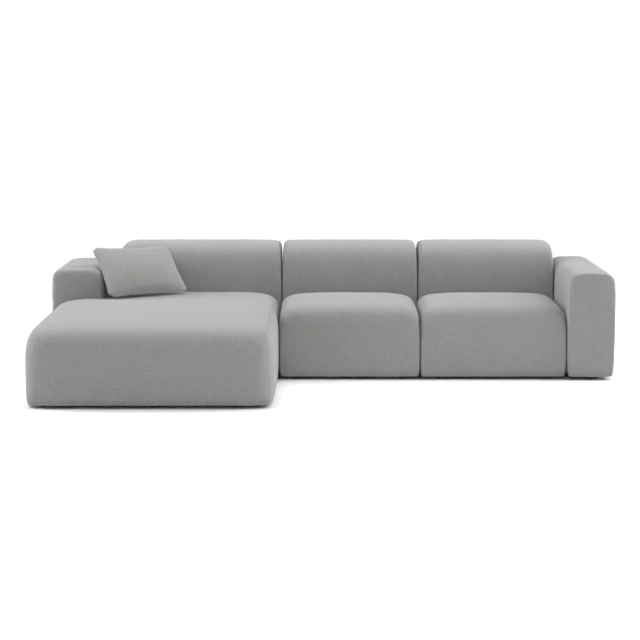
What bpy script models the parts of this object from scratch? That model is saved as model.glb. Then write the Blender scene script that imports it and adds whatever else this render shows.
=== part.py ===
"""A corner sofa: three upholstered modules, linked by plates, and a loose scatter cushion.

Lengths are in metres. +Z is up, the front is towards -Y, and the origin lies on the floor
under the middle of the sofa's box. Every padded element has a sewn cover, foam under it and
a wooden frame inside, all worked out from one soft form, so that they nest.
"""

import math
from collections import namedtuple

import bmesh
import bpy
from mathutils import Matrix, Vector
from mathutils.bvhtree import BVHTree

# Overall sizes
SOFA_WIDTH = 3.243
SOFA_DEPTH = 0.98
CHAISE_REACH = 0.845
FLOOR_CLEARANCE = 0.014

# Elements
CHAISE_WIDTH = 1.3175
CHAISE_SETBACK = 0.013
MIDDLE_WIDTH = 0.8065
CHAISE_BACK_STAGGER = 0.006
MIDDLE_BACK_STAGGER = 0.016
LEFT_ARM_WIDTH = 0.306
RIGHT_ARM_WIDTH = 0.271
LEFT_ARM_LENGTH = 0.69
ARM_LEAD = 0.025
BACK_THICKNESS = 0.375
SEAT_HEIGHT = 0.434
BACK_HEIGHT = 0.7225
LEFT_ARM_HEIGHT = 0.609
RIGHT_ARM_HEIGHT = 0.617

# Clearances between pieces
FIT = 0.0003
LINING = 0.0005
MODULE_GAP = 0.0005
OVERRUN = 0.02
MERGE_DISTANCE = 0.0001

# Covers
COVER_THICKNESS = 0.003
TUCK = 0.014
TUCK_EDGE = 0.022
BASE_CORNER_SHARE = 0.16
BASE_LINE_SHARE = 0.18
FLANGE_WIDTH = 0.037
OPENING_CORNER_SHARE = 0.44

# Softness of the seats
SEAT_RISE = 0.026
SEAT_CORNER = 0.022
SEAT_FLANK = 0.19
SEAT_BROW = 0.16
SEAT_NAPE = 0.05
SEAT_SHOULDER = 0.15
SEAT_SIDE_SHOULDER = 0.12
SEAT_DROP = 0.012
SEAT_DRAW = 0.004

# Softness of the chaise
CHAISE_RISE = 0.026
CHAISE_CORNER = 0.20
CHAISE_FLANK = 0.21
CHAISE_BROW = 0.26
CHAISE_SHOULDER = 0.19
CHAISE_SIDE_SHOULDER = 0.15
CHAISE_DROP = 0.012
CHAISE_DRAW = 0.012

# Softness of the backs
BACK_RISE = 0.026
BACK_CORNER = 0.022
BACK_FLANK = 0.068
BACK_BROW = 0.17
BACK_NAPE = 0.10
BACK_SHOULDER = 0.20
BACK_SIDE_SHOULDER = 0.068
BACK_DROP = 0.004
BACK_DRAW = 0.008
BACK_LEAN = 0.03
LEFT_BACK_SLOPE = 0.065

# Softness of the arms
LEFT_ARM_RISE = 0.045
LEFT_ARM_CORNER = 0.045
LEFT_ARM_FLANK = 0.115
LEFT_ARM_BROW = 0.05
LEFT_ARM_NAPE = 0.12
LEFT_ARM_SHOULDER = 0.055
LEFT_ARM_SIDE_SHOULDER = 0.115
LEFT_ARM_DROP = 0.004
RIGHT_ARM_RISE = 0.055
RIGHT_ARM_CORNER = 0.03
RIGHT_ARM_FLANK = 0.125
RIGHT_ARM_BROW = 0.05
RIGHT_ARM_NAPE = 0.035
RIGHT_ARM_SHOULDER = 0.05
RIGHT_ARM_SIDE_SHOULDER = 0.135
RIGHT_ARM_DROP = 0.002
ARM_DRAW = 0.004

# Wooden frames
FRAME_HEIGHT = 0.10
RAIL_WIDTH = 0.08
CROSS_RAIL_WIDTH = 0.035
CROSS_RAIL_DIP = 0.015
WIDEST_POCKET = 0.30
GLUE_BLOCK = 0.06
GLUE_BLOCK_SHARE = 0.33

# Upright boards in the backs and arms
BOARD_THICKNESS = 0.018
BOARD_TOP_MARGIN = 0.15
BOARD_END_MARGIN = 0.09
BOARD_REAR_MARGIN = 0.12
BOARD_CORNER = 0.07
BOARD_HOLE_WIDTH = 0.17
BOARD_HOLE_PITCH = 0.30
ROUND_PROFILE = 0.5

# Woven webbing
STRAP_WIDTH = 0.07
STRAP_THICKNESS = 0.0015
STRAP_PITCH = 0.20
STRAP_BOND = 0.0002
STRAP_HOLD = 0.02

# Dust cloths
CLOTH_THICKNESS = 0.001
CLOTH_MARGIN = 0.068
CLOTH_FOOT_ROOM = 0.004

# Feet
FOOT_RADIUS = 0.025
FOOT_TIP_RADIUS = 0.021
FOOT_TAPER_HEIGHT = 0.005
FOOT_INSET = 0.1

# Steel plates under the frames
PLATE_THICKNESS = 0.003
PLATE_PAD_START = 0.04
PLATE_PAD_END = 0.067
PLATE_WIDTH = 0.08
PLATE_FLOOR_CLEARANCE = 0.0105
HOOK_FLOOR_CLEARANCE = 0.004
HOOK_REACH = 0.08
HOOK_LIP_HEIGHT = 0.0055
HOOK_WIDTH = 0.05
HOOK_FROM_FRONT = 0.30
SLOT_EDGE = 0.012
SLOT_PLAY = 0.001

# Scatter cushion
CUSHION_WIDTH = 0.55
CUSHION_HEIGHT = 0.41
CUSHION_THICKNESS = 0.13
CUSHION_SEAM = 0.008
CUSHION_WAIST = 0.03
CUSHION_SEAM_MARGIN = 0.02
CUSHION_COVER_THICKNESS = 0.002
CUSHION_ZIP_WIDTH = 0.28
CUSHION_ZIP_OPENING = 0.002
CUSHION_TURN = math.radians(31)
CUSHION_LEAN = math.radians(45)
CUSHION_ACROSS = 0.30
CUSHION_START_LIFT = 0.30
CUSHION_START_FORWARD = 0.35
CUSHION_REST = 0.0006

# Counts
TURN_STEPS = 12
HOLE_STEPS = 16
BOARD_CORNER_STEPS = 4
CUSHION_CELLS = (4, 4)
SOFT_CELLS = 3
SOFT_LEVELS = 1

# Places and sizes worked out from those above
LEFT = -SOFA_WIDTH / 2
RIGHT = SOFA_WIDTH / 2
FRONT = -(SOFA_DEPTH + CHAISE_REACH) / 2
REAR = (SOFA_DEPTH + CHAISE_REACH) / 2
RIGHT_ARM_FRONT = REAR - SOFA_DEPTH
SEAT_FRONT = RIGHT_ARM_FRONT + ARM_LEAD
BACK_FRONT = REAR - BACK_THICKNESS
LEFT_ARM_FRONT = REAR - LEFT_ARM_LENGTH
LEFT_ARM_INNER = LEFT + LEFT_ARM_WIDTH
RIGHT_ARM_INNER = RIGHT - RIGHT_ARM_WIDTH
CHAISE_LEFT = LEFT + CHAISE_SETBACK
CHAISE_EDGE = CHAISE_LEFT + CHAISE_WIDTH
SEAT_EDGE = CHAISE_EDGE + MIDDLE_WIDTH
CHAISE_BACK_EDGE = CHAISE_EDGE + CHAISE_BACK_STAGGER
MIDDLE_BACK_EDGE = SEAT_EDGE + MIDDLE_BACK_STAGGER
COVER_BOTTOM = FLOOR_CLEARANCE
FRAME_BOTTOM = COVER_BOTTOM + COVER_THICKNESS + LINING
FRAME_TOP = FRAME_BOTTOM + FRAME_HEIGHT
CLOTH_CORNER = 2 * (FOOT_INSET - CLOTH_MARGIN) + math.sqrt(2) * (FOOT_RADIUS + CLOTH_FOOT_ROOM)
STRAP_LIFT = (STRAP_THICKNESS - STRAP_BOND) / 2
WEB_MIDDLE = FRAME_TOP + FIT + STRAP_THICKNESS / 2 + STRAP_LIFT
WEB_TOP = WEB_MIDDLE + STRAP_LIFT + STRAP_THICKNESS / 2

Box = namedtuple("Box", "left right front rear bottom top")
Notch = namedtuple("Notch", "right front")
Softness = namedtuple(
    "Softness",
    "rise corner flank brow nape shoulder side_shoulder drop draw lean slope",
    defaults=[0, 0],
)
Finish = namedtuple("Finish", "name colour roughness metallic")

SEAT_SOFTNESS = Softness(
    SEAT_RISE,
    SEAT_CORNER,
    SEAT_FLANK,
    SEAT_BROW,
    SEAT_NAPE,
    SEAT_SHOULDER,
    SEAT_SIDE_SHOULDER,
    SEAT_DROP,
    SEAT_DRAW,
)
CHAISE_SOFTNESS = Softness(
    CHAISE_RISE,
    CHAISE_CORNER,
    CHAISE_FLANK,
    CHAISE_BROW,
    0,
    CHAISE_SHOULDER,
    CHAISE_SIDE_SHOULDER,
    CHAISE_DROP,
    CHAISE_DRAW,
)
BACK_SOFTNESS = Softness(
    BACK_RISE,
    BACK_CORNER,
    BACK_FLANK,
    BACK_BROW,
    BACK_NAPE,
    BACK_SHOULDER,
    BACK_SIDE_SHOULDER,
    BACK_DROP,
    BACK_DRAW,
    BACK_LEAN,
)
LEFT_ARM_SOFTNESS = Softness(
    LEFT_ARM_RISE,
    LEFT_ARM_CORNER,
    LEFT_ARM_FLANK,
    LEFT_ARM_BROW,
    LEFT_ARM_NAPE,
    LEFT_ARM_SHOULDER,
    LEFT_ARM_SIDE_SHOULDER,
    LEFT_ARM_DROP,
    ARM_DRAW,
)
RIGHT_ARM_SOFTNESS = Softness(
    RIGHT_ARM_RISE,
    RIGHT_ARM_CORNER,
    RIGHT_ARM_FLANK,
    RIGHT_ARM_BROW,
    RIGHT_ARM_NAPE,
    RIGHT_ARM_SHOULDER,
    RIGHT_ARM_SIDE_SHOULDER,
    RIGHT_ARM_DROP,
    ARM_DRAW,
)

FABRIC = Finish("grey_weave", (0.42, 0.42, 0.43, 1), 0.95, 0)
FOAM = Finish("pale_foam", (0.85, 0.78, 0.55, 1), 0.9, 0)
WOOD = Finish("pine", (0.68, 0.50, 0.30, 1), 0.6, 0)
PLYWOOD = Finish("birch_plywood", (0.68, 0.52, 0.33, 1), 0.6, 0)
WEBBING = Finish("elastic_webbing", (0.08, 0.07, 0.06, 1), 0.85, 0)
LINING_CLOTH = Finish("black_lining", (0.02, 0.02, 0.02, 1), 0.95, 0)
STEEL = Finish("zinc_plated_steel", (0.60, 0.60, 0.62, 1), 0.35, 1)
PLASTIC = Finish("black_plastic", (0.025, 0.025, 0.025, 1), 0.5, 0)


# Scene and object helpers
def clear_scene():
    for item in list(bpy.data.objects):
        bpy.data.objects.remove(item, do_unlink=True)


def new_collection(name):
    made = bpy.data.collections.new(name)
    bpy.context.scene.collection.children.link(made)
    return made


def material_of(finish):
    found = bpy.data.materials.get(finish.name)
    if found:
        return found
    made = bpy.data.materials.new(finish.name)
    made.use_nodes = True
    shader = made.node_tree.nodes["Principled BSDF"]
    shader.inputs["Base Color"].default_value = finish.colour
    shader.inputs["Roughness"].default_value = finish.roughness
    shader.inputs["Metallic"].default_value = finish.metallic
    return made


def add_part(name, bm, finish):
    mesh = bpy.data.meshes.new(name)
    bm.to_mesh(mesh)
    bm.free()
    mesh.materials.append(material_of(finish))
    part = bpy.data.objects.new(name, mesh)
    PARTS.objects.link(part)
    return part


def add_cutter(name, bm):
    mesh = bpy.data.meshes.new(name)
    bm.to_mesh(mesh)
    bm.free()
    cutter = bpy.data.objects.new(name, mesh)
    cutter.hide_render = True
    cutter.display_type = "WIRE"
    CUTTERS.objects.link(cutter)
    return cutter


def combine(part, operation, tool):
    boolean = part.modifiers.new(operation.lower(), "BOOLEAN")
    boolean.operation = operation
    boolean.solver = "EXACT"
    boolean.object = tool
    return boolean


def subdivide(part):
    smooth = part.modifiers.new("smooth", "SUBSURF")
    smooth.levels = SOFT_LEVELS
    smooth.render_levels = SOFT_LEVELS
    split = part.modifiers.new("split", "TRIANGULATE")
    split.quad_method = "FIXED"


def shrink(part, amount):
    inset = part.modifiers.new("inset", "DISPLACE")
    inset.mid_level = 0
    inset.strength = -amount


def thicken(part, thickness, offset):
    wall = part.modifiers.new("wall", "SOLIDIFY")
    wall.thickness = thickness
    wall.offset = offset


def add_block(bm, box, chamfer=0):
    """Adds a box to bm, with its upright edges chamfered."""
    size = (box.right - box.left, box.rear - box.front, box.top - box.bottom)
    middle = ((box.left + box.right) / 2, (box.front + box.rear) / 2, (box.bottom + box.top) / 2)
    place = Matrix.Translation(middle) @ Matrix.Diagonal((*size, 1))
    made = bmesh.ops.create_cube(bm, size=1, matrix=place)["verts"]
    if chamfer:
        edges = {edge for vert in made for edge in vert.link_edges}
        upright = [edge for edge in edges if is_upright(edge)]
        bmesh.ops.bevel(bm, geom=upright, offset=chamfer, segments=1, affect="EDGES")


def is_upright(edge):
    start, end = (vert.co for vert in edge.verts)
    return math.isclose(start.x, end.x) and math.isclose(start.y, end.y)


def pulled(outline, way):
    """A solid from the points of a flat outline, pulled along way."""
    bm = bmesh.new()
    face = bm.faces.new([bm.verts.new(point) for point in outline])
    made = bmesh.ops.extrude_face_region(bm, geom=[face])["geom"]
    moved = [item for item in made if isinstance(item, bmesh.types.BMVert)]
    bmesh.ops.translate(bm, verts=moved, vec=way)
    bmesh.ops.recalc_face_normals(bm, faces=bm.faces)
    return bm


def plate_blank(outline, width, to_world):
    """A plate whose side view is an outline of (across, up) points."""
    bm = pulled([(across, -width / 2, up) for across, up in outline], (0, width, 0))
    bmesh.ops.transform(bm, matrix=to_world, verts=bm.verts)
    return bm


# Soft forms
def lattice(columns, rows, levels, left_out):
    """A block of cells with whole numbers for corners, less the columns that left_out names."""
    bm = bmesh.new()
    bmesh.ops.create_grid(bm, x_segments=columns, y_segments=rows, size=1)
    for vert in bm.verts:
        vert.co.x = round((vert.co.x + 1) * columns / 2)
        vert.co.y = round((vert.co.y + 1) * rows / 2)
    spare = [face for face in bm.faces if left_out(face.calc_center_median())]
    bmesh.ops.delete(bm, geom=spare, context="FACES")
    top = bm.faces[:]
    for level in range(1, levels + 1):
        made = bmesh.ops.extrude_face_region(bm, geom=top)["geom"]
        if level > 1:
            bmesh.ops.delete(bm, geom=top, context="FACES")
        top = [item for item in made if isinstance(item, bmesh.types.BMFace)]
        for vert in made:
            if isinstance(vert, bmesh.types.BMVert):
                vert.co.z = level
    bmesh.ops.recalc_face_normals(bm, faces=bm.faces)
    return bm


def wall_lines(low, high, near, far, notch):
    lines = [low, low + near, high - far, high]
    return lines[:2] + notch + lines[2:]


def soft_cage(box, soft, notch=None):
    """The coarse cage of a padded block: tucked in below, upright, and rounded over its top."""
    last_line = SOFT_CELLS + bool(notch)
    across_notch = [notch.right] if notch else []
    tuck = max(TUCK + TUCK_EDGE, BASE_LINE_SHARE * soft.corner)
    x_wall = wall_lines(box.left, box.right, soft.corner, soft.corner, across_notch)
    x_top = wall_lines(box.left, box.right, soft.slope + soft.flank, soft.flank, across_notch)
    x_base = wall_lines(box.left, box.right, tuck, tuck, across_notch)
    if notch:
        y_wall = notched_lines(box, soft.corner, soft.corner, notch)
        y_top = notched_lines(box, soft.brow, soft.corner, notch)
        y_base = notched_lines(box, tuck, tuck, notch)
    else:
        y_wall = wall_lines(box.front, box.rear, soft.corner, soft.corner, [])
        y_top = wall_lines(box.front, box.rear, soft.lean + soft.brow, soft.nape, [])
        y_base = wall_lines(box.front, box.rear, tuck, tuck, [])
    levels = [box.bottom, box.bottom + soft.rise, box.top - soft.side_shoulder, box.top]
    front_fall = soft.shoulder - soft.side_shoulder

    def left_out(middle):
        return bool(notch) and middle.x < 2 and middle.y > 3

    def place(i, j, k):
        on_left = i == 0
        on_right = i == last_line
        on_front = j == 0
        on_rear = j == last_line
        if k == 0:
            at_corner = (on_left or on_right) and (on_front or (on_rear and not notch))
            inward = TUCK + BASE_CORNER_SHARE * soft.corner * at_corner
            inward_x = inward * (on_left - on_right)
            inward_y = inward * (on_front - on_rear * (not notch))
            return Vector((x_base[i] + inward_x, y_base[j] + inward_y, levels[k]))
        if k < SOFT_CELLS:
            fall = front_fall * on_front * (k - 1)
            if on_left or on_right:
                fall /= 2
            fall += soft.slope * on_left * (k - 1)
            return Vector((x_wall[i], y_wall[j], levels[k] - fall))
        soft_rear = on_rear and not notch and soft.lean
        sides = on_left + on_right + on_front + bool(soft_rear)
        inward_x = (soft.draw + soft.slope) * on_left - soft.draw * on_right
        inward_y = (soft.draw + soft.lean) * on_front - soft.draw * bool(soft_rear)
        return Vector((x_top[i] + inward_x, y_top[j] + inward_y, levels[k] - soft.drop * sides))

    bm = lattice(last_line, last_line, SOFT_CELLS, left_out)
    places = {vert: tuple(round(part) for part in vert.co) for vert in bm.verts}
    if notch:
        crease = bm.edges.layers.float.new("crease_edge")
        for edge in bm.edges:
            if all(is_hard(places[vert]) for vert in edge.verts):
                edge[crease] = 1
    for vert in bm.verts:
        vert.co = place(*places[vert])
    for face in bm.faces:
        face.smooth = True
    return bm


def notched_lines(box, near, beside, notch):
    return [box.front, box.front + near, notch.front - beside, notch.front, box.rear]


def is_hard(place):
    """Whether a corner of the notched lattice lies along the notch or the rear."""
    i, j, _ = place
    return (i <= 2 and j == 3) or (i == 2 and j >= 3) or j == 4


def inset_box(box, inset):
    return Box(
        box.left + inset,
        box.right - inset,
        box.front + inset,
        box.rear - inset,
        box.bottom + inset,
        box.top - inset,
    )


def inset_notch(notch, inset):
    return notch and Notch(notch.right + inset, notch.front - inset)


def lined_form(name, finish, box, soft, notch):
    """The solid that fills a cover: the same cage, set back by the cover and its clearance."""
    inset = COVER_THICKNESS + LINING
    cage = soft_cage(inset_box(box, inset), soft, inset_notch(notch, inset))
    part = add_part(name, cage, finish)
    subdivide(part)
    return part


def cover(name, box, soft, notch=None):
    """A sewn cover, hollow, and open below inside the flange that is stapled to the frame."""
    part = add_part(name, soft_cage(box, soft, notch), FABRIC)
    subdivide(part)
    inner = soft_cage(inset_box(box, COVER_THICKNESS), soft, inset_notch(notch, COVER_THICKNESS))
    cavity = add_cutter(name + "_cavity", inner)
    subdivide(cavity)
    combine(part, "DIFFERENCE", cavity)
    low = box.bottom - OVERRUN
    outline = [(x, y, low) for x, y in base_opening(box, soft, notch)]
    opening = add_cutter(name + "_opening", pulled(outline, (0, 0, 2 * OVERRUN)))
    combine(part, "DIFFERENCE", opening)
    return part


def base_opening(box, soft, notch):
    """The outline of the opening in a cover's base, which leaves a flange all round."""
    inner = inset_box(box, FLANGE_WIDTH)
    corner = OPENING_CORNER_SHARE * soft.corner
    outline = [
        (inner.left, inner.front + corner),
        (inner.left + corner, inner.front),
        (inner.right - corner, inner.front),
        (inner.right, inner.front + corner),
    ]
    if notch:
        beside, before = notch.right + FLANGE_WIDTH, notch.front - FLANGE_WIDTH
        return outline + [
            (inner.right, inner.rear),
            (beside, inner.rear),
            (beside, before),
            (inner.left, before),
        ]
    return outline + [
        (inner.right, inner.rear - corner),
        (inner.right - corner, inner.rear),
        (inner.left + corner, inner.rear),
        (inner.left, inner.rear - corner),
    ]


def below(box, height, name):
    bm = bmesh.new()
    add_block(
        bm,
        Box(
            box.left - OVERRUN,
            box.right + OVERRUN,
            box.front - OVERRUN,
            box.rear + OVERRUN,
            box.bottom - OVERRUN,
            height,
        ),
    )
    return add_cutter(name, bm)


def foam(name, box, soft, bottom, notch=None):
    part = lined_form(name, FOAM, box, soft, notch)
    combine(part, "DIFFERENCE", below(box, bottom, name + "_underside"))
    return part


# Wooden frames
def pocket_boxes(box, notch):
    """The open pockets between a frame's rails and its cross rails."""
    inner = Box(
        box.left + RAIL_WIDTH,
        box.right - RAIL_WIDTH,
        box.front + RAIL_WIDTH,
        box.rear - RAIL_WIDTH,
        FRAME_BOTTOM - OVERRUN,
        FRAME_TOP + OVERRUN,
    )
    if not notch:
        return divided(inner)
    beside = inner._replace(right=notch.right - RAIL_WIDTH, rear=notch.front - RAIL_WIDTH)
    return [beside] + divided(inner._replace(left=notch.right + RAIL_WIDTH))


def divided(inner):
    """Splits a box along its longer side, so that no pocket is wider than WIDEST_POCKET."""
    wide, deep = inner.right - inner.left, inner.rear - inner.front
    if min(wide, deep) <= WIDEST_POCKET and max(wide, deep) > WIDEST_POCKET:
        along_x = wide > deep
    else:
        along_x = True
    length = wide if along_x else deep
    count = max(1, math.ceil((length + CROSS_RAIL_WIDTH) / (WIDEST_POCKET + CROSS_RAIL_WIDTH)))
    step = (length + CROSS_RAIL_WIDTH) / count
    made = []
    for number in range(count):
        start = (inner.left if along_x else inner.front) + step * number
        end = start + step - CROSS_RAIL_WIDTH
        if along_x:
            made.append(inner._replace(left=start, right=end))
        else:
            made.append(inner._replace(front=start, rear=end))
    return made


def frame(name, box, soft, notch=None, dipped=False):
    """A glued frame of rails, cross rails and corner blocks that follows the soft form."""
    part = lined_form(name, WOOD, box, soft, notch)
    combine(part, "DIFFERENCE", above(box, FRAME_TOP, name + "_topside"))
    bm = bmesh.new()
    pockets = pocket_boxes(box, notch)
    for pocket in pockets:
        narrow = min(pocket.right - pocket.left, pocket.rear - pocket.front)
        add_block(bm, pocket, min(GLUE_BLOCK, narrow * GLUE_BLOCK_SHARE))
    combine(part, "DIFFERENCE", add_cutter(name + "_pockets", bm))
    if dipped and len(pockets) > 1:
        combine(part, "DIFFERENCE", cross_rail_dip(name + "_dip", pockets, notch))
    return part


def cross_rail_dip(name, pockets, notch):
    """Lowers the cross rails, so that the webbing above them can give."""
    plain = pockets[1:] if notch else pockets
    bm = bmesh.new()
    add_block(
        bm,
        Box(
            plain[0].left + GLUE_BLOCK,
            plain[-1].right - GLUE_BLOCK,
            plain[0].front + GLUE_BLOCK,
            plain[0].rear - GLUE_BLOCK,
            FRAME_TOP - CROSS_RAIL_DIP,
            FRAME_TOP + OVERRUN,
        ),
    )
    return add_cutter(name, bm)


def above(box, height, name):
    bm = bmesh.new()
    add_block(
        bm,
        Box(
            box.left - OVERRUN,
            box.right + OVERRUN,
            box.front - OVERRUN,
            box.rear + OVERRUN,
            height,
            box.top + OVERRUN,
        ),
    )
    return add_cutter(name, bm)


# Woven webbing
def strap_centres(start, end):
    """Even places for straps between two rails."""
    room = end - start
    count = max(1, round(room / STRAP_PITCH))
    return [start + room * (number + 1 / 2) / count for number in range(count)]


def strap_line(start, end, crossings, first_over):
    """(along, height) points of a strap that goes over and under those it crosses."""
    points = [(start, WEB_MIDDLE - STRAP_LIFT)]
    for number, middle in enumerate(crossings):
        over = (number % 2 == 0) == first_over
        height = WEB_MIDDLE + (STRAP_LIFT if over else -STRAP_LIFT)
        points.append((middle - STRAP_WIDTH / 2, height))
        points.append((middle + STRAP_WIDTH / 2, height))
    points.append((end, WEB_MIDDLE - STRAP_LIFT))
    return points


def add_strap(bm, line, middle, along_x):
    """Adds a flat strip that follows line, STRAP_WIDTH wide, to be thickened later."""
    made = bmesh.ops.create_grid(bm, x_segments=len(line) - 1, y_segments=1, size=1)["verts"]
    for vert in made:
        along, height = line[round((vert.co.x + 1) / 2 * (len(line) - 1))]
        across = middle + math.copysign(STRAP_WIDTH / 2, vert.co.y)
        vert.co = (along, across, height) if along_x else (across, along, height)


def webbing(name, box, notch=None):
    """Straps woven across a frame, with their ends on its rails."""
    hold = RAIL_WIDTH - STRAP_HOLD
    left, right = box.left + hold, box.right - hold
    front, rear = box.front + hold, box.rear - hold
    if notch:
        columns = strap_centres(box.left + RAIL_WIDTH, notch.right - RAIL_WIDTH)
        side_columns = len(columns)
        columns += strap_centres(notch.right + RAIL_WIDTH, box.right - RAIL_WIDTH)
        rows = strap_centres(box.front + RAIL_WIDTH, notch.front - RAIL_WIDTH)
        front_rows = len(rows)
        rows += strap_centres(notch.front + RAIL_WIDTH, box.rear - RAIL_WIDTH)
    else:
        columns = strap_centres(box.left + RAIL_WIDTH, box.right - RAIL_WIDTH)
        side_columns = 0
        rows = strap_centres(box.front + RAIL_WIDTH, box.rear - RAIL_WIDTH)
        front_rows = len(rows)
    lengthways = bmesh.new()
    for number, middle in enumerate(columns):
        beside_arm = number < side_columns
        crossed = rows[:front_rows] if beside_arm else rows
        end = notch.front - hold if beside_arm else rear
        line = strap_line(front, end, crossed, number % 2 == 0)
        add_strap(lengthways, line, middle, along_x=False)
    crossways = bmesh.new()
    for number, middle in enumerate(rows):
        behind_arm = number >= front_rows
        crossed = columns[side_columns:] if behind_arm else columns
        start = notch.right + hold if behind_arm else left
        over = (number + (side_columns if behind_arm else 0)) % 2 == 1
        line = strap_line(start, right, crossed, over)
        add_strap(crossways, line, middle, along_x=True)
    part = add_part(name, lengthways, WEBBING)
    thicken(part, STRAP_THICKNESS, 0)
    woven_in = add_cutter(name + "_crossways", crossways)
    thicken(woven_in, STRAP_THICKNESS, 0)
    combine(part, "UNION", woven_in)
    return part


# Upright boards
def board_outline_box(box, along_x):
    if along_x:
        middle = box.rear - BOARD_REAR_MARGIN
        return Box(
            box.left + BOARD_END_MARGIN,
            box.right - BOARD_END_MARGIN,
            middle - BOARD_THICKNESS / 2,
            middle + BOARD_THICKNESS / 2,
            FRAME_TOP + FIT,
            box.top - BOARD_TOP_MARGIN,
        )
    middle = (box.left + box.right) / 2
    return Box(
        middle - BOARD_THICKNESS / 2,
        middle + BOARD_THICKNESS / 2,
        box.front + BOARD_END_MARGIN,
        box.rear - BOARD_END_MARGIN,
        FRAME_TOP + FIT,
        box.top - BOARD_TOP_MARGIN,
    )


def board_blank(outline, along_x):
    """A board with its two upper corners rounded."""
    bm = bmesh.new()
    add_block(bm, outline)
    corners = []
    for edge in bm.edges:
        start, end = (vert.co for vert in edge.verts)
        across = abs(end.y - start.y) if along_x else abs(end.x - start.x)
        if across > 0 and min(start.z, end.z) > (outline.bottom + outline.top) / 2:
            corners.append(edge)
    bmesh.ops.bevel(
        bm,
        geom=corners,
        offset=BOARD_CORNER,
        segments=BOARD_CORNER_STEPS,
        profile=ROUND_PROFILE,
        affect="EDGES",
    )
    return bm


def board(name, box, along_x):
    """An upright board with a row of round lightening holes."""
    outline = board_outline_box(box, along_x)
    part = add_part(name, board_blank(outline, along_x), PLYWOOD)
    length = outline.right - outline.left if along_x else outline.rear - outline.front
    count = max(1, round(length / BOARD_HOLE_PITCH))
    bm = bmesh.new()
    for number in range(count):
        shift = length * ((number + 1 / 2) / count - 1 / 2)
        middle = Vector(
            (
                (outline.left + outline.right) / 2,
                (outline.front + outline.rear) / 2,
                (outline.bottom + outline.top) / 2,
            )
        )
        middle += Vector((shift, 0, 0)) if along_x else Vector((0, shift, 0))
        turn = Matrix.Rotation(math.pi / 2, 4, "X" if along_x else "Y")
        bmesh.ops.create_cone(
            bm,
            cap_ends=True,
            segments=HOLE_STEPS,
            radius1=BOARD_HOLE_WIDTH / 2,
            radius2=BOARD_HOLE_WIDTH / 2,
            depth=BOARD_THICKNESS + OVERRUN,
            matrix=Matrix.Translation(middle) @ turn,
        )
    combine(part, "DIFFERENCE", add_cutter(name + "_holes", bm))
    return part


def board_slot(name, box, along_x):
    outline = board_outline_box(box, along_x)
    grown = Box(
        outline.left - FIT,
        outline.right + FIT,
        outline.front - FIT,
        outline.rear + FIT,
        outline.bottom - OVERRUN,
        outline.top + FIT,
    )
    return add_cutter(name, board_blank(grown, along_x))


# Elements
def seat(name, box, soft, notch=None):
    cover(name + "_cover", box, soft, notch)
    foam(name + "_foam", box, soft, WEB_TOP + FIT, notch)
    frame(name + "_frame", box, soft, notch, dipped=True)
    webbing(name + "_webbing", box, notch)
    dust_cloth(name + "_dust_cloth", box, notch)


def upright(name, box, soft, along_x):
    cover(name + "_cover", box, soft)
    padding = foam(name + "_foam", box, soft, FRAME_TOP + FIT)
    combine(padding, "DIFFERENCE", board_slot(name + "_slot", box, along_x))
    frame(name + "_base", box, soft)
    board(name + "_board", box, along_x)


def dust_cloth(name, box, notch):
    """The thin lining that closes a frame from below, clear of its feet and plates."""
    top = FRAME_BOTTOM - FIT
    sheet = Box(
        box.left + CLOTH_MARGIN,
        box.right - CLOTH_MARGIN,
        box.front + CLOTH_MARGIN,
        box.rear - CLOTH_MARGIN,
        top - CLOTH_THICKNESS,
        top,
    )
    bm = bmesh.new()
    add_block(bm, sheet, CLOTH_CORNER)
    part = add_part(name, bm, LINING_CLOTH)
    if notch:
        corner = bmesh.new()
        add_block(
            corner,
            Box(
                box.left - OVERRUN,
                notch.right + CLOTH_MARGIN,
                notch.front - CLOTH_MARGIN,
                box.rear + OVERRUN,
                top - OVERRUN,
                top + OVERRUN,
            ),
        )
        combine(part, "DIFFERENCE", add_cutter(name + "_corner", corner))
        room = FOOT_RADIUS + CLOTH_FOOT_ROOM
        middle_x, middle_y = box.left + FOOT_INSET, notch.front - FOOT_INSET
        beside_foot = bmesh.new()
        add_block(
            beside_foot,
            Box(
                middle_x - room,
                middle_x + room,
                middle_y - room,
                middle_y + room,
                top - OVERRUN,
                top + OVERRUN,
            ),
        )
        combine(part, "DIFFERENCE", add_cutter(name + "_foot_room", beside_foot))
    return part


def foot(name, x, y):
    """A low turned glide, screwed up into a frame."""
    top = FRAME_BOTTOM - FIT
    profile = [
        (0, top),
        (FOOT_RADIUS, top),
        (FOOT_RADIUS, FOOT_TAPER_HEIGHT),
        (FOOT_TIP_RADIUS, 0),
        (0, 0),
    ]
    bm = bmesh.new()
    points = [bm.verts.new((radius, 0, height)) for radius, height in profile]
    for start, end in zip(points, points[1:]):
        bm.edges.new((start, end))
    part = add_part(name, bm, PLASTIC)
    turned = part.modifiers.new("turned", "SCREW")
    turned.steps = TURN_STEPS
    turned.render_steps = TURN_STEPS
    turned.use_merge_vertices = True
    turned.merge_threshold = MERGE_DISTANCE
    part.location = (x, y, 0)
    return part


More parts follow.
